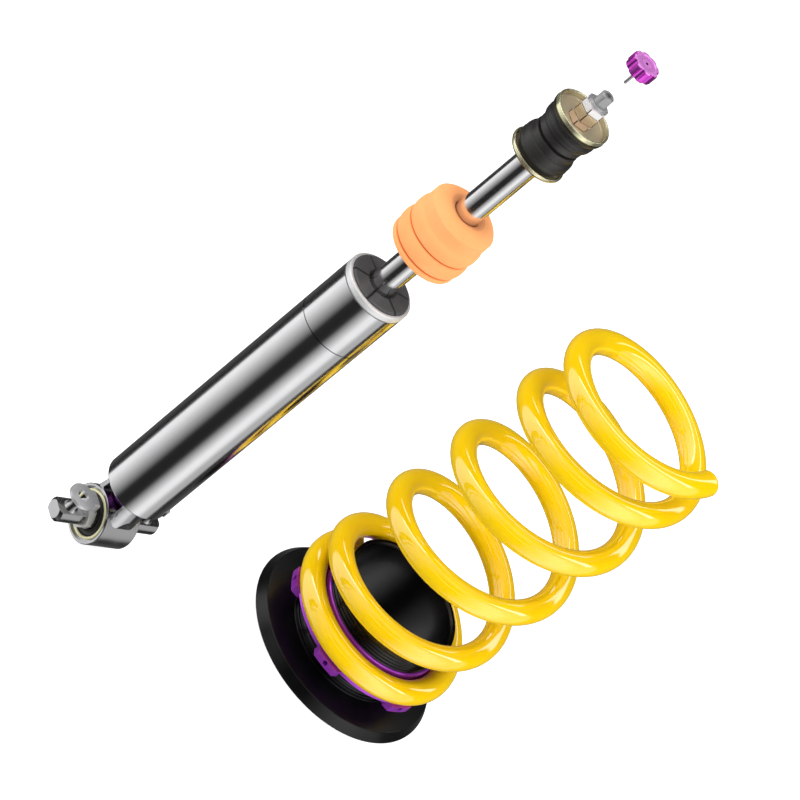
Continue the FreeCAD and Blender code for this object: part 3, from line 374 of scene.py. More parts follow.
def washer_finish():
    """Yellow zinc of the dished washers: dull tan floor, and a smoother, more metallic lip with a painted highlight.

    The bend under the upper lip and the foot of the lower one are darkened as painted shade."""
    material, tree, place, shader = begin("yellow_zinc")
    film = use(tree, PLATING_FILM, {"Vector": place, "Scale": 55.0})
    grain = use(tree, GRAIN, {"Vector": place, "Scale": PLATE_GRAIN})
    floor = blend_colours(tree, times(tree, film["Rose"], 0.6), (0.62, 0.54, 0.38, 1), (0.68, 0.50, 0.38, 1))
    # Painted highlight: the lip gets a much lighter colour than the floor
    painted_rim_highlight = blend_colours(tree, times(tree, film["Green"], 0.6), (1.0, 0.93, 0.62, 1), (0.90, 0.96, 0.60, 1))
    radius, height = from_axis(tree, place)
    lip = rises(tree, radius, WASHER_LIP_R - 0.2, WASHER_LIP_R + 0.2)
    bend = times(tree, falls(tree, height, UPPER_WASHER_BEND - 0.2, UPPER_WASHER_BEND + 0.2),
                 rises(tree, height, MOUNT_MIDDLE - 0.5, MOUNT_MIDDLE + 0.5))
    foot = falls(tree, height, LOWER_WASHER_FOOT - 0.2, LOWER_WASHER_FOOT + 0.2)
    # Painted shade: the bend under the upper lip and the foot of the lower one are darkened where the rubber meets
    # them
    dark = times(tree, most(tree, bend, foot), lip)
    colour = blend_colours(tree, dark, blend_colours(tree, lip, floor, painted_rim_highlight), WASHER_PAINTED_SHADE)
    rough = mix_values(tree, lip, between(tree, grain["Mottle"], 0.38, 0.46), 0.2)
    paint(tree, shader, colour, rough, between(tree, lip, 0.55, 0.9))
    bump(tree, shader, grain["Grain"], 0.005)
    return material


def nut_finish(name, tone, shade, foot):
    """Plated nut: bright flats, with painted shade at its corners and at its foot, where it meets the next nut.

    Only the corners of a hexagon 17 mm across reach NUT_CORNER_R; foot is the height of its lower face."""
    material, tree, place, shader = begin(name)
    film = use(tree, PLATING_FILM, {"Vector": place, "Scale": 110.0})
    grain = use(tree, GRAIN, {"Vector": place, "Scale": PLATE_GRAIN})
    radius, height = from_axis(tree, place)
    # Painted shade: dark at the hexagon's corners and in a band at the nut's foot
    corner = rises(tree, radius, NUT_CORNER_R, NUT_CORNER_R + 0.16)
    painted_foot_shadow = falls(tree, calc(tree, "SUBTRACT", height, foot * MM), 0.3, 0.45)
    plate = blend_colours(tree, times(tree, film["Rose"], 0.7), tone, shade)
    colour = blend_colours(tree, most(tree, corner, painted_foot_shadow), plate, NUT_PAINTED_SHADE)
    paint(tree, shader, colour, between(tree, grain["Mottle"], 0.24, 0.34), 0.75)
    bump(tree, shader, grain["Grain"], 0.004)
    return material


def anodised(name, tone, shade, rough, rough_more, metal):
    """Dyed anodised aluminium with faint turning lines under the dye."""
    material, tree, place, shader = begin(name)
    lines = use(tree, DRAWN_LINES, {"Vector": place, "Stretch": (60.0, 60.0, 2600.0)})
    grain = use(tree, GRAIN, {"Vector": place, "Scale": DYE_GRAIN})
    colour = blend_colours(tree, weigh(tree, lines["Lines"], 0.4, grain["Mottle"], 0.6), shade, tone)
    paint(tree, shader, colour, between(tree, grain["Grain"], rough, rough_more), metal)
    bump(tree, shader, lines["Lines"], 0.004)
    return material


def perch_finish():
    """Black hard-anodised perch: gloss on its threaded outside, duller on its flange and in its bore."""
    material, tree, place, shader = begin("black_anodised")
    grain = use(tree, GRAIN, {"Vector": place, "Scale": 1500.0})
    colour = blend_colours(tree, grain["Mottle"], srgb(3, 3, 4), srgb(6, 6, 7))
    own = add(tree, "ShaderNodeVectorMath", {0: place, 1: (PERCH[0] * MM, PERCH[1] * MM, 0.0)},
              operation="SUBTRACT")
    radius, height = from_axis(tree, own.outputs[0])
    outside = times(tree, rises(tree, height, GLOSS_FROM - 0.5, GLOSS_FROM + 0.5),
                    rises(tree, radius, GLOSS_R - 0.5, GLOSS_R + 0.5))
    gloss = between(tree, outside, 0.3, 0.1)
    paint(tree, shader, colour, calc(tree, "MULTIPLY_ADD", grain["Mottle"], 0.05, gloss))
    shader.inputs["Coat Weight"].default_value = 0.1
    shader.inputs["Coat Roughness"].default_value = 0.08
    bump(tree, shader, grain["Grain"], 0.005)
    return material


def moulded(name, tone, shade, rough, rough_more, depth, shine=0.45):
    """Moulded rubber or plastic with a fine skin and a slow bloom."""
    material, tree, place, shader = begin(name)
    grain = use(tree, GRAIN, {"Vector": place, "Scale": 1100.0})
    colour = blend_colours(tree, grain["Mottle"], shade, tone)
    paint(tree, shader, colour, between(tree, grain["Grain"], rough, rough_more))
    shader.inputs["Specular IOR Level"].default_value = shine
    bump(tree, shader, grain["Grain"], depth)
    return material


def foam_skin():
    """Orange foam of the bump stop: matt closed skin with fine cells; painted shade in its creases and mouth."""
    material, tree, place, shader = begin("bump_foam")
    grain = use(tree, GRAIN, {"Vector": place, "Scale": 1300.0})
    share = weigh(tree, grain["Mottle"], 0.7, grain["Pits"], 0.3)
    skin = blend_colours(tree, share, srgb(255, 174, 110), srgb(250, 164, 100))
    radius, height = from_axis(tree, place)
    low, high = (off(tree, height, crease * MM) for crease in FOAM_CREASES)
    # Painted shade: darker orange along the two creases
    painted_crease_shade = falls(tree, calc(tree, "MINIMUM", low, high), 0.15, 0.75)
    skin = blend_colours(tree, painted_crease_shade, skin, srgb(224, 112, 50))
    # Painted shade: brownish tint inside the mouth round the rod
    inside = spread(tree, radius, 14.6 * MM, 15.2 * MM, 0.35, 0.0)
    mouth = times(tree, inside, rises(tree, height, FOAM_MOUTH, FOAM_MOUTH + 0.5))
    colour = blend_colours(tree, mouth, skin, srgb(206, 128, 92))
    paint(tree, shader, colour, between(tree, grain["Grain"], 0.62, 0.8))
    shader.inputs["Specular IOR Level"].default_value = 0.3
    shader.inputs["Subsurface Weight"].default_value = 0.12
    shader.inputs["Subsurface Radius"].default_value = (0.004, 0.002, 0.001)
    shader.inputs["Subsurface Scale"].default_value = 1.0
    bump(tree, shader, calc(tree, "MULTIPLY_ADD", grain["Pits"], -0.6, grain["Grain"]), 0.03)
    return material


def powder_coat():
    """Yellow powder coat of the spring: clear gloss over a colour with faint orange peel."""
    material, tree, place, shader = begin("yellow_coat")
    grain = use(tree, GRAIN, {"Vector": place, "Scale": 420.0})
    colour = blend_colours(tree, grain["Mottle"], srgb(255, 206, 0), srgb(255, 213, 0))
    paint(tree, shader, colour, between(tree, grain["Grain"], 0.4, 0.5))
    shader.inputs["Specular IOR Level"].default_value = 0.05
    shader.inputs["Coat Weight"].default_value = 1.0
    shader.inputs["Coat Roughness"].default_value = 0.05
    shader.inputs["Coat IOR"].default_value = 2.35
    bump(tree, shader, grain["Grain"], 0.01)
    return material


def rod_finish():
    """Hard chrome up to the shoulder, and plain zinc on the stud above it."""
    material, tree, place, shader = begin("hard_chrome")
    lines = use(tree, DRAWN_LINES, {"Vector": place, "Stretch": (120.0, 120.0, 4000.0)})
    grain = use(tree, GRAIN, {"Vector": place, "Scale": HAND_GRAIN})
    stud = rises(tree, height_of(tree, place), STUD_FOOT - 0.1, STUD_FOOT + 0.1)
    chrome = blend_colours(tree, lines["Lines"], (0.84, 0.84, 0.85, 1), (0.88, 0.88, 0.89, 1))
    zinc = blend_colours(tree, grain["Mottle"], (0.40, 0.40, 0.40, 1), (0.52, 0.52, 0.52, 1))
    smooth = between(tree, lines["Bands"], 0.13, 0.19)
    dull = between(tree, grain["Mottle"], 0.42, 0.54)
    paint(tree, shader, blend_colours(tree, stud, chrome, zinc), mix_values(tree, stud, smooth, dull),
          between(tree, stud, 1.0, 0.6))
    bump(tree, shader, lines["Lines"], 0.0006)
    return material


def knob_finish():
    """Dyed knob: on its face a fine ring, and round that 24 ticks.

    Ticks: cos(24 angle) past a threshold, where the distance from the axis is 5.2 to 6.4 mm."""
    material, tree, place, shader = begin("knob_anodised")
    grain = use(tree, GRAIN, {"Vector": place, "Scale": DYE_GRAIN})
    parts = add(tree, "ShaderNodeSeparateXYZ", {0: place}).outputs
    radius, height = from_axis(tree, place)
    angle = calc(tree, "ARCTAN2", parts["Y"], parts["X"])
    face = rises(tree, height, KNOB_FACE, KNOB_FACE + 0.1)
    tick = spread(tree, calc(tree, "COSINE", times(tree, angle, 24.0)), 0.75, 0.9)
    tick = times(tree, times(tree, tick, rises(tree, radius, 5.1, 5.2)), falls(tree, radius, 6.4, 6.5))
    ring = falls(tree, off(tree, radius, 4.4 * MM), 0.1, 0.2)
    marks = times(tree, most(tree, tick, ring), face)
    dye = blend_colours(tree, grain["Mottle"], (0.80, 0.08, 0.76, 1), (0.92, 0.14, 0.90, 1))
    pale = blend_colours(tree, face, dye, (0.86, 0.30, 0.84, 1))
    colour = blend_colours(tree, marks, pale, (0.36, 0.06, 0.42, 1))
    paint(tree, shader, colour, between(tree, grain["Grain"], 0.18, 0.28), between(tree, face, 0.9, 0.4))
    bump(tree, shader, weigh(tree, marks, -0.8, grain["Grain"], 0.1), 0.08)
    return material


def make_finishes():
    """Every finish of the coilover by its slot name."""
    return {
        "polished_steel": tube_finish(),
        "brushed_ring": ring_finish(),
        "hard_chrome": rod_finish(),
        "satin_steel": machined_steel("satin_steel", (0.76, 0.76, 0.77, 1), (0.62, 0.62, 0.63, 1),
                                      0.16, 0.24, 0.006),
        "bare_steel": machined_steel("bare_steel", (0.72, 0.72, 0.73, 1), (0.60, 0.60, 0.60, 1),
                                     0.12, 0.2, 0.004, 1200.0),
        "yellow_zinc": washer_finish(),
        "sleeve_zinc": sleeve_finish(),
        "thin_zinc": nut_finish("thin_zinc", (0.94, 0.74, 0.58, 1), (0.94, 0.66, 0.54, 1), 510.0),
        "nut_zinc": nut_finish("nut_zinc", (0.84, 0.68, 0.46, 1), (0.86, 0.60, 0.46, 1), 515.0),
        "bright_zinc": nut_finish("bright_zinc", (0.99, 0.97, 0.97, 1), (0.97, 0.92, 0.95, 1), 522.6),
        "collar_zinc": machined_steel("collar_zinc", (0.52, 0.52, 0.52, 1), (0.36, 0.36, 0.36, 1),
                                      0.36, 0.46, 0.004, 1500.0, 0.6),
        "black_rubber": moulded("black_rubber", srgb(44, 43, 41), srgb(30, 29, 28), 0.36, 0.46, 0.02, 0.65),
        "black_cap": moulded("black_cap", srgb(76, 77, 78), srgb(64, 65, 66), 0.42, 0.55, 0.012),
        "bump_foam": foam_skin(),
        "yellow_coat": powder_coat(),
        "black_anodised": perch_finish(),
        "purple_anodised": anodised("purple_anodised", (0.56, 0.10, 0.80, 1), (0.42, 0.05, 0.64, 1),
                                    0.14, 0.22, 0.62),
        # Painted shade: a darkened purple dye for the compression wheel, which sits in shade behind the eye
        "violet_anodised_painted_shade": anodised("violet_anodised_painted_shade", (0.22, 0.03, 0.32, 1), (0.14, 0.02, 0.22, 1),
                                    0.2, 0.3, 0.8),
        "keeper_steel": machined_steel("keeper_steel", (0.84, 0.84, 0.85, 1), (0.66, 0.66, 0.67, 1),
                                       0.34, 0.44, 0.008, 900.0, 0.75),
        "knob_anodised": knob_finish(),
        "bearing_plastic": moulded("bearing_plastic", srgb(120, 96, 60), srgb(96, 76, 48), 0.45, 0.6, 0.01),
    }


FINISHES = make_finishes()

NODE_FINISH = {
    "cross_pin": "bare_steel", "bolt_keeper": "keeper_steel", "bush_core": "bare_steel",
    "bush_rubber": "black_rubber", "bush_sleeve": "sleeve_zinc", "eye_yoke": "satin_steel",
    "bottom_cap": "satin_steel", "outer_tube": "polished_steel", "gas_plug": "satin_steel",
    "closing_ring": "brushed_ring", "top_cap": "black_cap", "pressure_tube": "polished_steel",
    "foot_valve": "satin_steel", "foot_shims": "bare_steel", "rod_guide": "satin_steel",
    "guide_bush": "bearing_plastic", "rod_seal": "black_rubber", "rod_wiper": "black_rubber",
    "compression_wheel": "violet_anodised_painted_shade", "compression_stem": "bare_steel",
    "piston_rod": "hard_chrome", "piston": "satin_steel", "piston_band": "bearing_plastic",
    "compression_shims": "bare_steel", "rebound_shims": "bare_steel", "piston_nut": "satin_steel",
    "rebound_stop": "satin_steel", "bump_stop": "bump_foam", "lower_washer": "yellow_zinc",
    "lower_bush": "black_rubber", "spacer_tube": "satin_steel", "upper_bush": "black_rubber",
    "upper_washer": "yellow_zinc", "thin_nut": "thin_zinc", "clamp_nut": "nut_zinc",
    "lock_nut": "bright_zinc", "nut_collar": "collar_zinc", "rebound_spindle": "bare_steel",
    "adjuster_knob": "knob_anodised", "knob_key": "bare_steel", "perch_sleeve": "black_anodised",
    "adjuster_ring": "purple_anodised", "coil_spring": "yellow_coat",
}


def dress(obj, finish):
    """Gives an object one finish on all its faces."""
    if obj.data.materials:
        for slot in range(len(obj.data.materials)):
            obj.data.materials[slot] = FINISHES[finish]
    else:
        obj.data.materials.append(FINISHES[finish])


def dress_nodes():
    """Gives every solid of the CAD model its finish."""
    for name, finish in NODE_FINISH.items():
        dress(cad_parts[name], finish)


# Shapes

def closed_grid(points, caps):
    """Faces of a grid that closes round its second parameter, and round its first one if caps is ring.

    points has the shape (rows, columns, 3). Each quad joins neighbours k, k+1 in both directions."""
    rows, columns = points.shape[:2]
    index = np.arange(rows * columns).reshape(rows, columns)
    here = index if caps == "ring" else index[:-1]
    there = np.roll(index, -1, 0) if caps == "ring" else index[1:]
    quads = np.stack([here, np.roll(here, -1, 1), np.roll(there, -1, 1), there], -1).reshape(-1, 4)
    return points.reshape(-1, 3), quads


def signed_volume(points, quads):
    """Six times the volume that the quads enclose, positive where they face outwards."""
    a, b, c, d = (points[quads[:, k]] for k in range(4))
    return float((np.cross(a, b) * c).sum() + (np.cross(a, c) * d).sum())


def make_piece(name, points, quads, finish, body, nodes=(), crease=30.0):
    """Mesh object at the origin from points in millimetres; smooth, with edges kept past the crease."""
    if signed_volume(points, quads) < 0:
        quads = quads[:, ::-1]
    mesh = bpy.data.meshes.new(name)
    mesh.vertices.add(len(points))
    mesh.vertices.foreach_set("co", (points * MM).astype(np.float32).ravel())
    mesh.loops.add(quads.size)
    mesh.loops.foreach_set("vertex_index", quads.astype(np.int32).ravel())
    mesh.polygons.add(len(quads))
    mesh.polygons.foreach_set("loop_start", np.arange(0, quads.size, 4, dtype=np.int32))
    mesh.polygons.foreach_set("loop_total", np.full(len(quads), 4, np.int32))
    mesh.update(calc_edges=True)
    mesh.validate()
    merge_poles(mesh)
    mesh.polygons.foreach_set("use_smooth", np.ones(len(mesh.polygons), bool))
    mesh.set_sharp_from_angle(angle=math.radians(crease))
    obj = bpy.data.objects.new(name, mesh)
    bpy.context.scene.collection.objects.link(obj)
    dress(obj, finish)
    if nodes:
        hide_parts(*nodes)
    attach(obj, body)
    return obj


def merge_poles(mesh):
    """Joins the points that meet at a pole, so that it is closed."""
    work = bmesh.new()
    work.from_mesh(mesh)
    bmesh.ops.remove_doubles(work, verts=work.verts, dist=1e-7)
    work.to_mesh(mesh)
    work.free()


def arc_through(start, middle, end, count):
    """Points after start on the circle through three points: centre from the two bisectors, then even angles."""
    (ax, ay), (bx, by), (cx, cy) = start, middle, end
    a_square, b_square, c_square = ax * ax + ay * ay, bx * bx + by * by, cx * cx + cy * cy
    d = 2 * (ax * (by - cy) + bx * (cy - ay) + cx * (ay - by))
    ux = (a_square * (by - cy) + b_square * (cy - ay) + c_square * (ay - by)) / d
    uy = (a_square * (cx - bx) + b_square * (ax - cx) + c_square * (bx - ax)) / d
    radius = math.hypot(ax - ux, ay - uy)
    a0, a1, a2 = (math.atan2(y - uy, x - ux) for x, y in (start, middle, end))
    full = 2 * math.pi
    swing = (a2 - a0) % full
    if (a1 - a0) % full > swing:
        swing -= full
    angles = a0 + swing * np.arange(1, count + 1) / count
    return np.stack([ux + radius * np.cos(angles), uy + radius * np.sin(angles)], -1)


def outline(items, count=10):
    """Outline in (radius, height); a pair of points is an arc by way of the first to the second."""
    points = [np.array([items[0]], float)]
    last = items[0]
    for item in items[1:]:
        if isinstance(item[0], tuple):
            points.append(arc_through(last, item[0], item[1], count))
            last = item[1]
        else:
            points.append(np.array([item], float))
            last = item
    return np.concatenate(points)


def turn_about(radius, height, angles, centre=(0.0, 0.0), axis="Z"):
    """Points at (radius cos a, radius sin a, height) about an upright axis, or about the X axis."""
    x = radius * np.cos(angles)
    y = radius * np.sin(angles)
    if axis == "X":
        return np.stack([height + 0 * x, x, y], -1)
    return np.stack([x + centre[0], y + centre[1], height + 0 * x], -1)


def turned_piece(name, profile, finish, body, nodes=(), steps=160, centre=(0.0, 0.0), axis="Z", relief=None):
    """Closed outline carried round an axis: radius and height along the outline, angle across it.

    relief(radius, height, angle) adds to the radius, for threads, creases and parting lines."""
    angles = np.linspace(0, 2 * np.pi, steps, endpoint=False)[None, :]
    radius = profile[:, 0][:, None] + 0 * angles
    height = profile[:, 1][:, None] + 0 * angles
    if relief is not None:
        radius = radius + relief(radius, height, angles)
    points, quads = closed_grid(turn_about(radius, height, angles, centre, axis), "ring")
    return make_piece(name, points, quads, finish, body, nodes)


# Spring

COIL_R = 65.8
WIRE_R = 9.75
COIL_TURNS = 5.55
COIL_START = 90.1
COIL_FOOT = 22.55
COIL_SIDES = 36
COIL_ROWS = 1300
CUT_BEVEL = 0.7


def ramp(turn, start, span):
    """Integral of a slope that grows from 0 to 1 between start and start + span."""
    inside = np.clip(turn - start, 0, span)
    return inside ** 2 / span / 2 + np.maximum(turn - start - span, 0)


def coil_line(turn):
    """Centre line of the wire: a circle of COIL_R that climbs by pitches of 60, 72 and 41 mm, eased."""
    angle = np.radians(COIL_START + 360 * turn)
    height = COIL_FOOT + 60 * ramp(turn, 0.5, 0.25) + 12 * ramp(turn, 1.5, 0.25) - 31 * ramp(turn, 4.2, 0.5)
    return np.stack([PERCH[0] + COIL_R * np.cos(angle), PERCH[1] + COIL_R * np.sin(angle), height], -1)


def coil_spring():
    """Round wire along the coil: centre + radius (outward cos b + upward sin b), its two ends cut and eased."""
    edge = CUT_BEVEL / (2 * math.pi * COIL_R)
    low = [0, 0, edge * 0.3, edge]
    middle = np.linspace(edge * 3, COIL_TURNS - edge * 3, COIL_ROWS)
    turn = np.concatenate([low, middle, [COIL_TURNS - value for value in reversed(low)]])
    share = CUT_BEVEL / WIRE_R
    size = np.ones(len(turn))
    size[:3] = [0, 1 - share, 1 - share * 0.3]
    size[-3:] = size[2::-1]
    centre = coil_line(turn)
    along = coil_line(turn + 1e-5) - coil_line(turn - 1e-5)
    along /= np.linalg.norm(along, axis=1)[:, None]
    outward = centre - np.array([PERCH[0], PERCH[1], 0])
    outward[:, 2] = 0
    outward -= (outward * along).sum(1)[:, None] * along
    outward /= np.linalg.norm(outward, axis=1)[:, None]
    upward = np.cross(along, outward)
    b = np.linspace(0, 2 * np.pi, COIL_SIDES, endpoint=False)[None, :, None]
    ring = outward[:, None] * np.cos(b) + upward[:, None] * np.sin(b)
    points = centre[:, None] + ring * (WIRE_R * size)[:, None, None]
    return make_piece("spring_wire", *closed_grid(points, "open"), "yellow_coat", "spring", ["coil_spring"], 50)


# Perch with its thread

SLEEVE_R = 52.4
THREAD_PITCH = 3.0
THREAD_DEPTH = 0.95
THREAD_LOW = -8.9
THREAD_HIGH = 41.7


def thread(radius, height, angle):
    """Rounded thread, faded at both ends.

    Depth below the crest: depth (0.5 - 0.5 cos(2 pi (height / pitch - angle / 2 pi))) ^ 0.7"""
    turn = height / THREAD_PITCH - angle / (2 * np.pi)
    wave = (0.5 - 0.5 * np.cos(2 * np.pi * turn)) ** 0.7
    fade = np.clip((height - THREAD_LOW) / 1.5, 0, 1) * np.clip((THREAD_HIGH - height) / 2.0, 0, 1)
    return np.where(radius == SLEEVE_R, -THREAD_DEPTH * wave * fade, 0.0)


def perch():
    """Black perch: tapered flange and low collar, and a sleeve that carries the thread on its outside."""
    rows = np.arange(THREAD_LOW + 0.3, THREAD_HIGH, THREAD_PITCH / 12)
    bottom = outline([
        (47.5, -22.0), (84.5, -22.0), ((85.1, -21.8), (85.3, -21.2)), (81.0, -14.0),
        ((80.7, -13.4), (80.2, -13.2)), (54.9, -13.2), ((54.4, -13.0), (54.2, -12.5)),
        (54.2, -9.6), ((54.0, -9.1), (53.5, THREAD_LOW)), (SLEEVE_R, THREAD_LOW),
    ], 4)
    sleeve = np.stack([np.full(len(rows), SLEEVE_R), rows], -1)
    top = outline([
        (SLEEVE_R, THREAD_HIGH), (51.7, 42.4), (51.7, 49.5), ((51.49, 49.99), (51.0, 50.2)), (49.0, 50.2),
        ((48.1, 49.0), (47.5, 47.2)), (47.5, 30.0), (47.5, 5.0),
    ], 6)
    return turned_piece("perch", np.concatenate([bottom, sleeve, top]), "black_anodised", "pin_and_perch",
                        ["perch_sleeve"], 288, PERCH, relief=thread)


# Foam and rubber

BUSH_BORE = 7.55
PANEL_R = 15.0
RUBBER_SPLIT = 491.0


def foam_stop():
    """Foam stop on the rod: foot lip, bulge, waist, shoulder and barrel, its mouth funnelled round the rod."""
    z, top = 354.0, 401.3
    profile = outline([
        (10.3, z), (24.4, z), ((26.6, z + 0.5), (27.4, z + 2.4)), ((27.35, z + 3.8), (26.9, z + 4.6)),
        (25.8, z + 5.2), ((26.6, z + 5.9), (27.6, z + 6.8)), ((28.6, z + 11.5), (27.5, z + 18.0)),
        ((27.2, z + 18.6), (25.4, z + 19.4)), ((27.0, z + 20.2), (27.5, z + 21.2)),
        ((28.0, z + 23.5), (28.1, z + 26.5)), ((27.8, z + 29.4), (27.0, z + 31.6)),
        ((26.7, z + 32.4), (26.6, z + 33.6)), (26.5, z + 42.4),
        ((21.6, z + 46.3), (15.6, top)), ((13.0, top - 0.3), (10.5, top - 1.5)), (10.3, top - 3.0),
        (10.3, top - 22.0),
    ], 12)
    piece = turned_piece("foam_stop", profile, "bump_foam", "bump", ["bump_stop"], 144)
    return piece


def lower_rubber():
    """Lower rubber of the stud mount: foot in its dish, beaded middle, neck and half the panel groove."""
    low, groove = 469.0, RUBBER_SPLIT - 1.1
    profile = outline([
        (BUSH_BORE, low), (16.3, low), ((17.3, low + 2.2), (18.0, low + 4.5)), ((19.7, low + 5.4), (20.2, 478.1)),
        ((20.3, 480.9), (19.6, 483.64)), ((19.3, 484.0), (18.9, 484.2)), ((18.5, 484.6), (18.5, 485.2)),
        (18.2, 488.4), ((18.05, 489.5), (17.2, groove)), (PANEL_R, groove), (PANEL_R, RUBBER_SPLIT),
        (BUSH_BORE, RUBBER_SPLIT),
    ], 8)
    return turned_piece("lower_rubber", profile, "black_rubber", "rod", ["lower_bush"], 128, relief=flash)


def upper_rubber():
    """Upper rubber: half the panel groove, neck, beaded band, and a collar that follows the washer's bend."""
    groove, seat = RUBBER_SPLIT + 1.1, 508.08
    profile = outline([
        (BUSH_BORE, RUBBER_SPLIT), (PANEL_R, RUBBER_SPLIT), (PANEL_R, groove), (17.2, groove),
        ((18.05, 492.5), (18.1, 493.4)), (18.7, 497.6), ((18.9, 498.3), (19.5, 498.6)),
        ((20.15, 499.9), (20.2, 501.9)), ((20.1, 504.6), (19.6, 505.1)), ((19.3, 505.4), (19.2, 505.9)),
        ((20.8, 507.4), (21.9, 509.9)), (22.15, 511.0), (21.99, 510.94), ((21.05, 509.05), (18.7, seat)),
        (BUSH_BORE, seat),
    ], 8)
    return turned_piece("upper_rubber", profile, "black_rubber", "rod", ["upper_bush"], 128, relief=flash)


def flash(radius, height, angle):
    """Mould line down two sides of a rubber: 0.12 mm high where cos(angle + 0.5) crosses 0."""
    line = np.exp(-(np.cos(angle + 0.5) / 0.02) ** 2)
    return np.where(radius > 14.0, 0.12 * line, 0.0)


def eye_rubber():
    """Rubber of the lower eye, its ends dished between core and sleeve with one raised bead."""
    half = 13.9
    profile = outline([
        (11.3, -half), ((12.2, -12.6), (13.2, -12.2)), ((13.7, -12.5), (14.2, -12.2)),
        ((15.5, -12.6), (16.45, -half)), (16.45, half), ((15.5, 12.6), (14.2, 12.2)),
        ((13.7, 12.5), (13.2, 12.2)), ((12.2, 12.6), (11.3, half)),
    ], 8)
    return turned_piece("eye_rubber", profile, "black_rubber", "damper", ["bush_rubber"], 96, axis="X")


# Stage and light

def make_floor():
    """Pale floor under the part: it keeps the shadow, and metal sees the studio through it."""
    half = 4.0
    z = FLOOR_HEIGHT * MM
    mesh = bpy.data.meshes.new("floor")
    mesh.from_pydata([(-half, -half, z), (half, -half, z), (half, half, z), (-half, half, z)], [], [(0, 1, 2, 3)])
    floor = bpy.data.objects.new("floor", mesh)
    bpy.context.scene.collection.objects.link(floor)
    material = bpy.data.materials.new("floor")
    material.use_nodes = True
    tree = material.node_tree
    tree.nodes.clear()
    path = tree.nodes.new("ShaderNodeLightPath")
    matt = add(tree, "ShaderNodeBsdfDiffuse", {"Color": (0.8, 0.8, 0.8, 1)})
    glow = add(tree, "ShaderNodeEmission", {"Color": (1, 1, 1, 1), "Strength": 0.62})
    lit = add(tree, "ShaderNodeAddShader")
    tree.links.new(matt.outputs[0], lit.inputs[0])
    tree.links.new(glow.outputs[0], lit.inputs[1])
    seen = add(tree, "ShaderNodeMixShader", {0: path.outputs["Is Camera Ray"], 1: matt.outputs[0], 2: lit.outputs[0]})
    clear = tree.nodes.new("ShaderNodeBsdfTransparent")
    mirror = most(tree, path.outputs["Is Glossy Ray"], path.outputs["Is Transmission Ray"])
    final = add(tree, "ShaderNodeMixShader", {0: mirror, 1: seen.outputs[0], 2: clear.outputs[0]})
    out = tree.nodes.new("ShaderNodeOutputMaterial")
    tree.links.new(final.outputs[0], out.inputs["Surface"])
    mesh.materials.append(material)


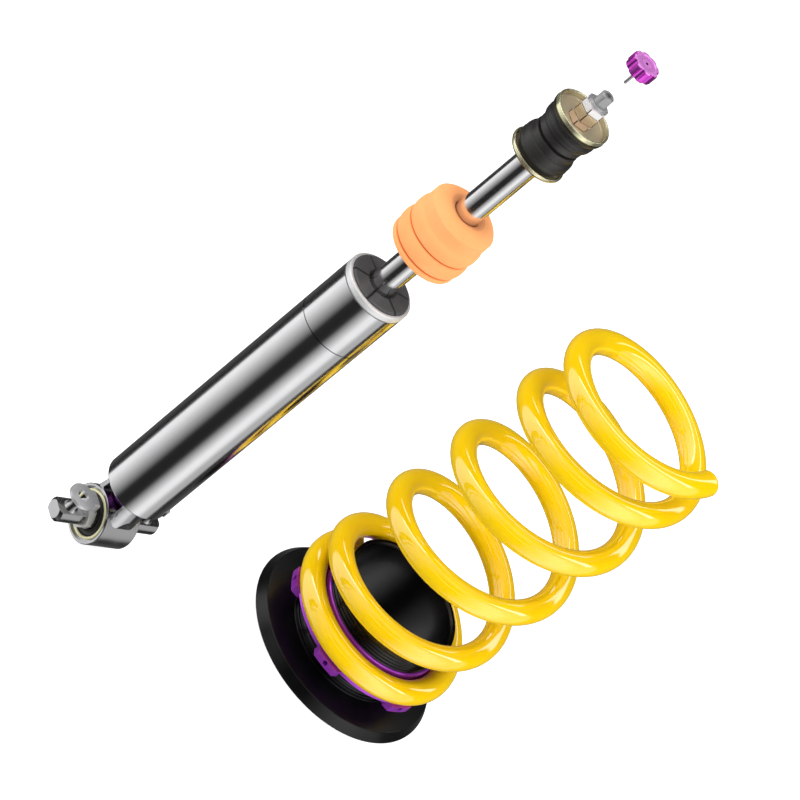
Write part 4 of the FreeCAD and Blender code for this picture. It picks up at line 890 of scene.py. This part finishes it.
def make_studio():
    """Studio round the part: plain white to the camera, soft light, and panels that only a reflection shows.

    side and front are a direction's shares along the level ways; bearing is its angle from the camera's own
    bearing and rise its angle over the floor, in degrees. The panels are two tall windows with a soft inner and
    a hard outer edge, a dim wall behind, a roof, a narrow bar high over the camera, and two strips across."""
    world = bpy.data.worlds.new("studio")
    bpy.context.scene.world = world
    world.use_nodes = True
    tree = world.node_tree
    tree.nodes.clear()
    way = tree.nodes.new("ShaderNodeTexCoord").outputs["Generated"]
    front, side = (add(tree, "ShaderNodeVectorMath", {0: way, 1: tuple(axis)},
                       operation="DOT_PRODUCT").outputs["Value"] for axis in level_ways())
    height = add(tree, "ShaderNodeSeparateXYZ", {0: way}).outputs["Z"]
    bearing = times(tree, calc(tree, "ARCTAN2", side, front), 180 / math.pi)
    rise = times(tree, calc(tree, "ARCSINE", height), 180 / math.pi)
    far = times(tree, spread(tree, bearing, 66.0, 86.0, 1.0, 0.5, True),
                spread(tree, bearing, 101.0, 106.0, 1.0, 0.0, True))
    right = times(tree, spread(tree, bearing, 17.0, 56.0), far)
    left_bearing = times(tree, bearing, -1.0)
    left = times(tree, spread(tree, left_bearing, 15.0, 84.0),
                 spread(tree, left_bearing, 96.0, 102.0, 1.0, 0.0, True))
    span = times(tree, spread(tree, rise, -62.0, -50.0, 0.0, 1.0, True),
                 spread(tree, rise, 55.0, 75.0, 1.0, 0.25, True))
    windows = times(tree, calc(tree, "ADD", right, left), span)
    turned = calc(tree, "ABSOLUTE", bearing)
    wall = times(tree, spread(tree, turned, 112.0, 170.0, 0.02, 0.13), spread(tree, rise, -5.0, 5.0, 1.0, 0.1))
    bar = times(tree, spread(tree, off(tree, rise, 33.0), 0.8, 1.6, 1.0, 0.0),
                spread(tree, turned, 20.0, 30.0, 1.0, 0.0))
    near = spread(tree, off(tree, front, -0.1), 0.03, 0.08, 3.0, 0.0, True)
    rear = spread(tree, off(tree, front, -0.62), 0.025, 0.06, 2.0, 0.0, True)
    strips = times(tree, most(tree, near, rear), spread(tree, rise, 25.0, 35.0))
    roof = most(tree, spread(tree, rise, 50.0, 75.0, 0.0, 0.3, True), strips)
    total = most(tree, most(tree, windows, wall), most(tree, roof, bar))
    path = tree.nodes.new("ShaderNodeLightPath")
    mirror = most(tree, path.outputs["Is Glossy Ray"], path.outputs["Is Transmission Ray"])
    soft = add(tree, "ShaderNodeBackground", {"Color": (1, 1, 1, 1), "Strength": 0.63})
    panels = add(tree, "ShaderNodeBackground", {"Color": (1, 1, 1, 1), "Strength": total})
    white = add(tree, "ShaderNodeBackground", {"Color": (1, 1, 1, 1), "Strength": 1.0})
    first = add(tree, "ShaderNodeMixShader", {0: mirror, 1: soft.outputs[0], 2: panels.outputs[0]})
    final = add(tree, "ShaderNodeMixShader", {
        0: path.outputs["Is Camera Ray"], 1: first.outputs[0], 2: white.outputs[0]})
    out = tree.nodes.new("ShaderNodeOutputWorld")
    tree.links.new(final.outputs[0], out.inputs["Surface"])


def make_lamp(name, bearing, rise, size, power):
    """Square soft lamp on a bearing from the camera's own, aimed at the middle of the part."""
    middle = Vector((0.14, -0.03, 0.2))
    distance = 1.6
    around = math.radians(bearing)
    up = math.radians(rise)
    forward, sideways = level_ways()
    way = (forward * math.cos(around) + sideways * math.sin(around)) * math.cos(up)
    way += Vector((0, 0, math.sin(up)))
    data = bpy.data.lights.new(name, "AREA")
    data.shape = "SQUARE"
    data.size = size
    data.energy = power
    lamp = bpy.data.objects.new(name, data)
    bpy.context.scene.collection.objects.link(lamp)
    turn = way.to_track_quat("Z", "Y")
    lamp.matrix_world = Matrix.Translation(middle + way * distance) @ turn.to_matrix().to_4x4()
    lamp.visible_glossy = False


place_camera()
make_floor()
make_studio()
make_lamp("left_panel", -72.0, 28.0, 1.2, 15.0)
make_lamp("right_panel", 68.0, 22.0, 1.2, 15.0)
make_lamp("top_panel", 10.0, 72.0, 1.0, 7.0)

dress_nodes()
coil_spring()
perch()
foam_stop()
lower_rubber()
upper_rubber()
eye_rubber()

bpy.context.scene.view_settings.view_transform = "Standard"
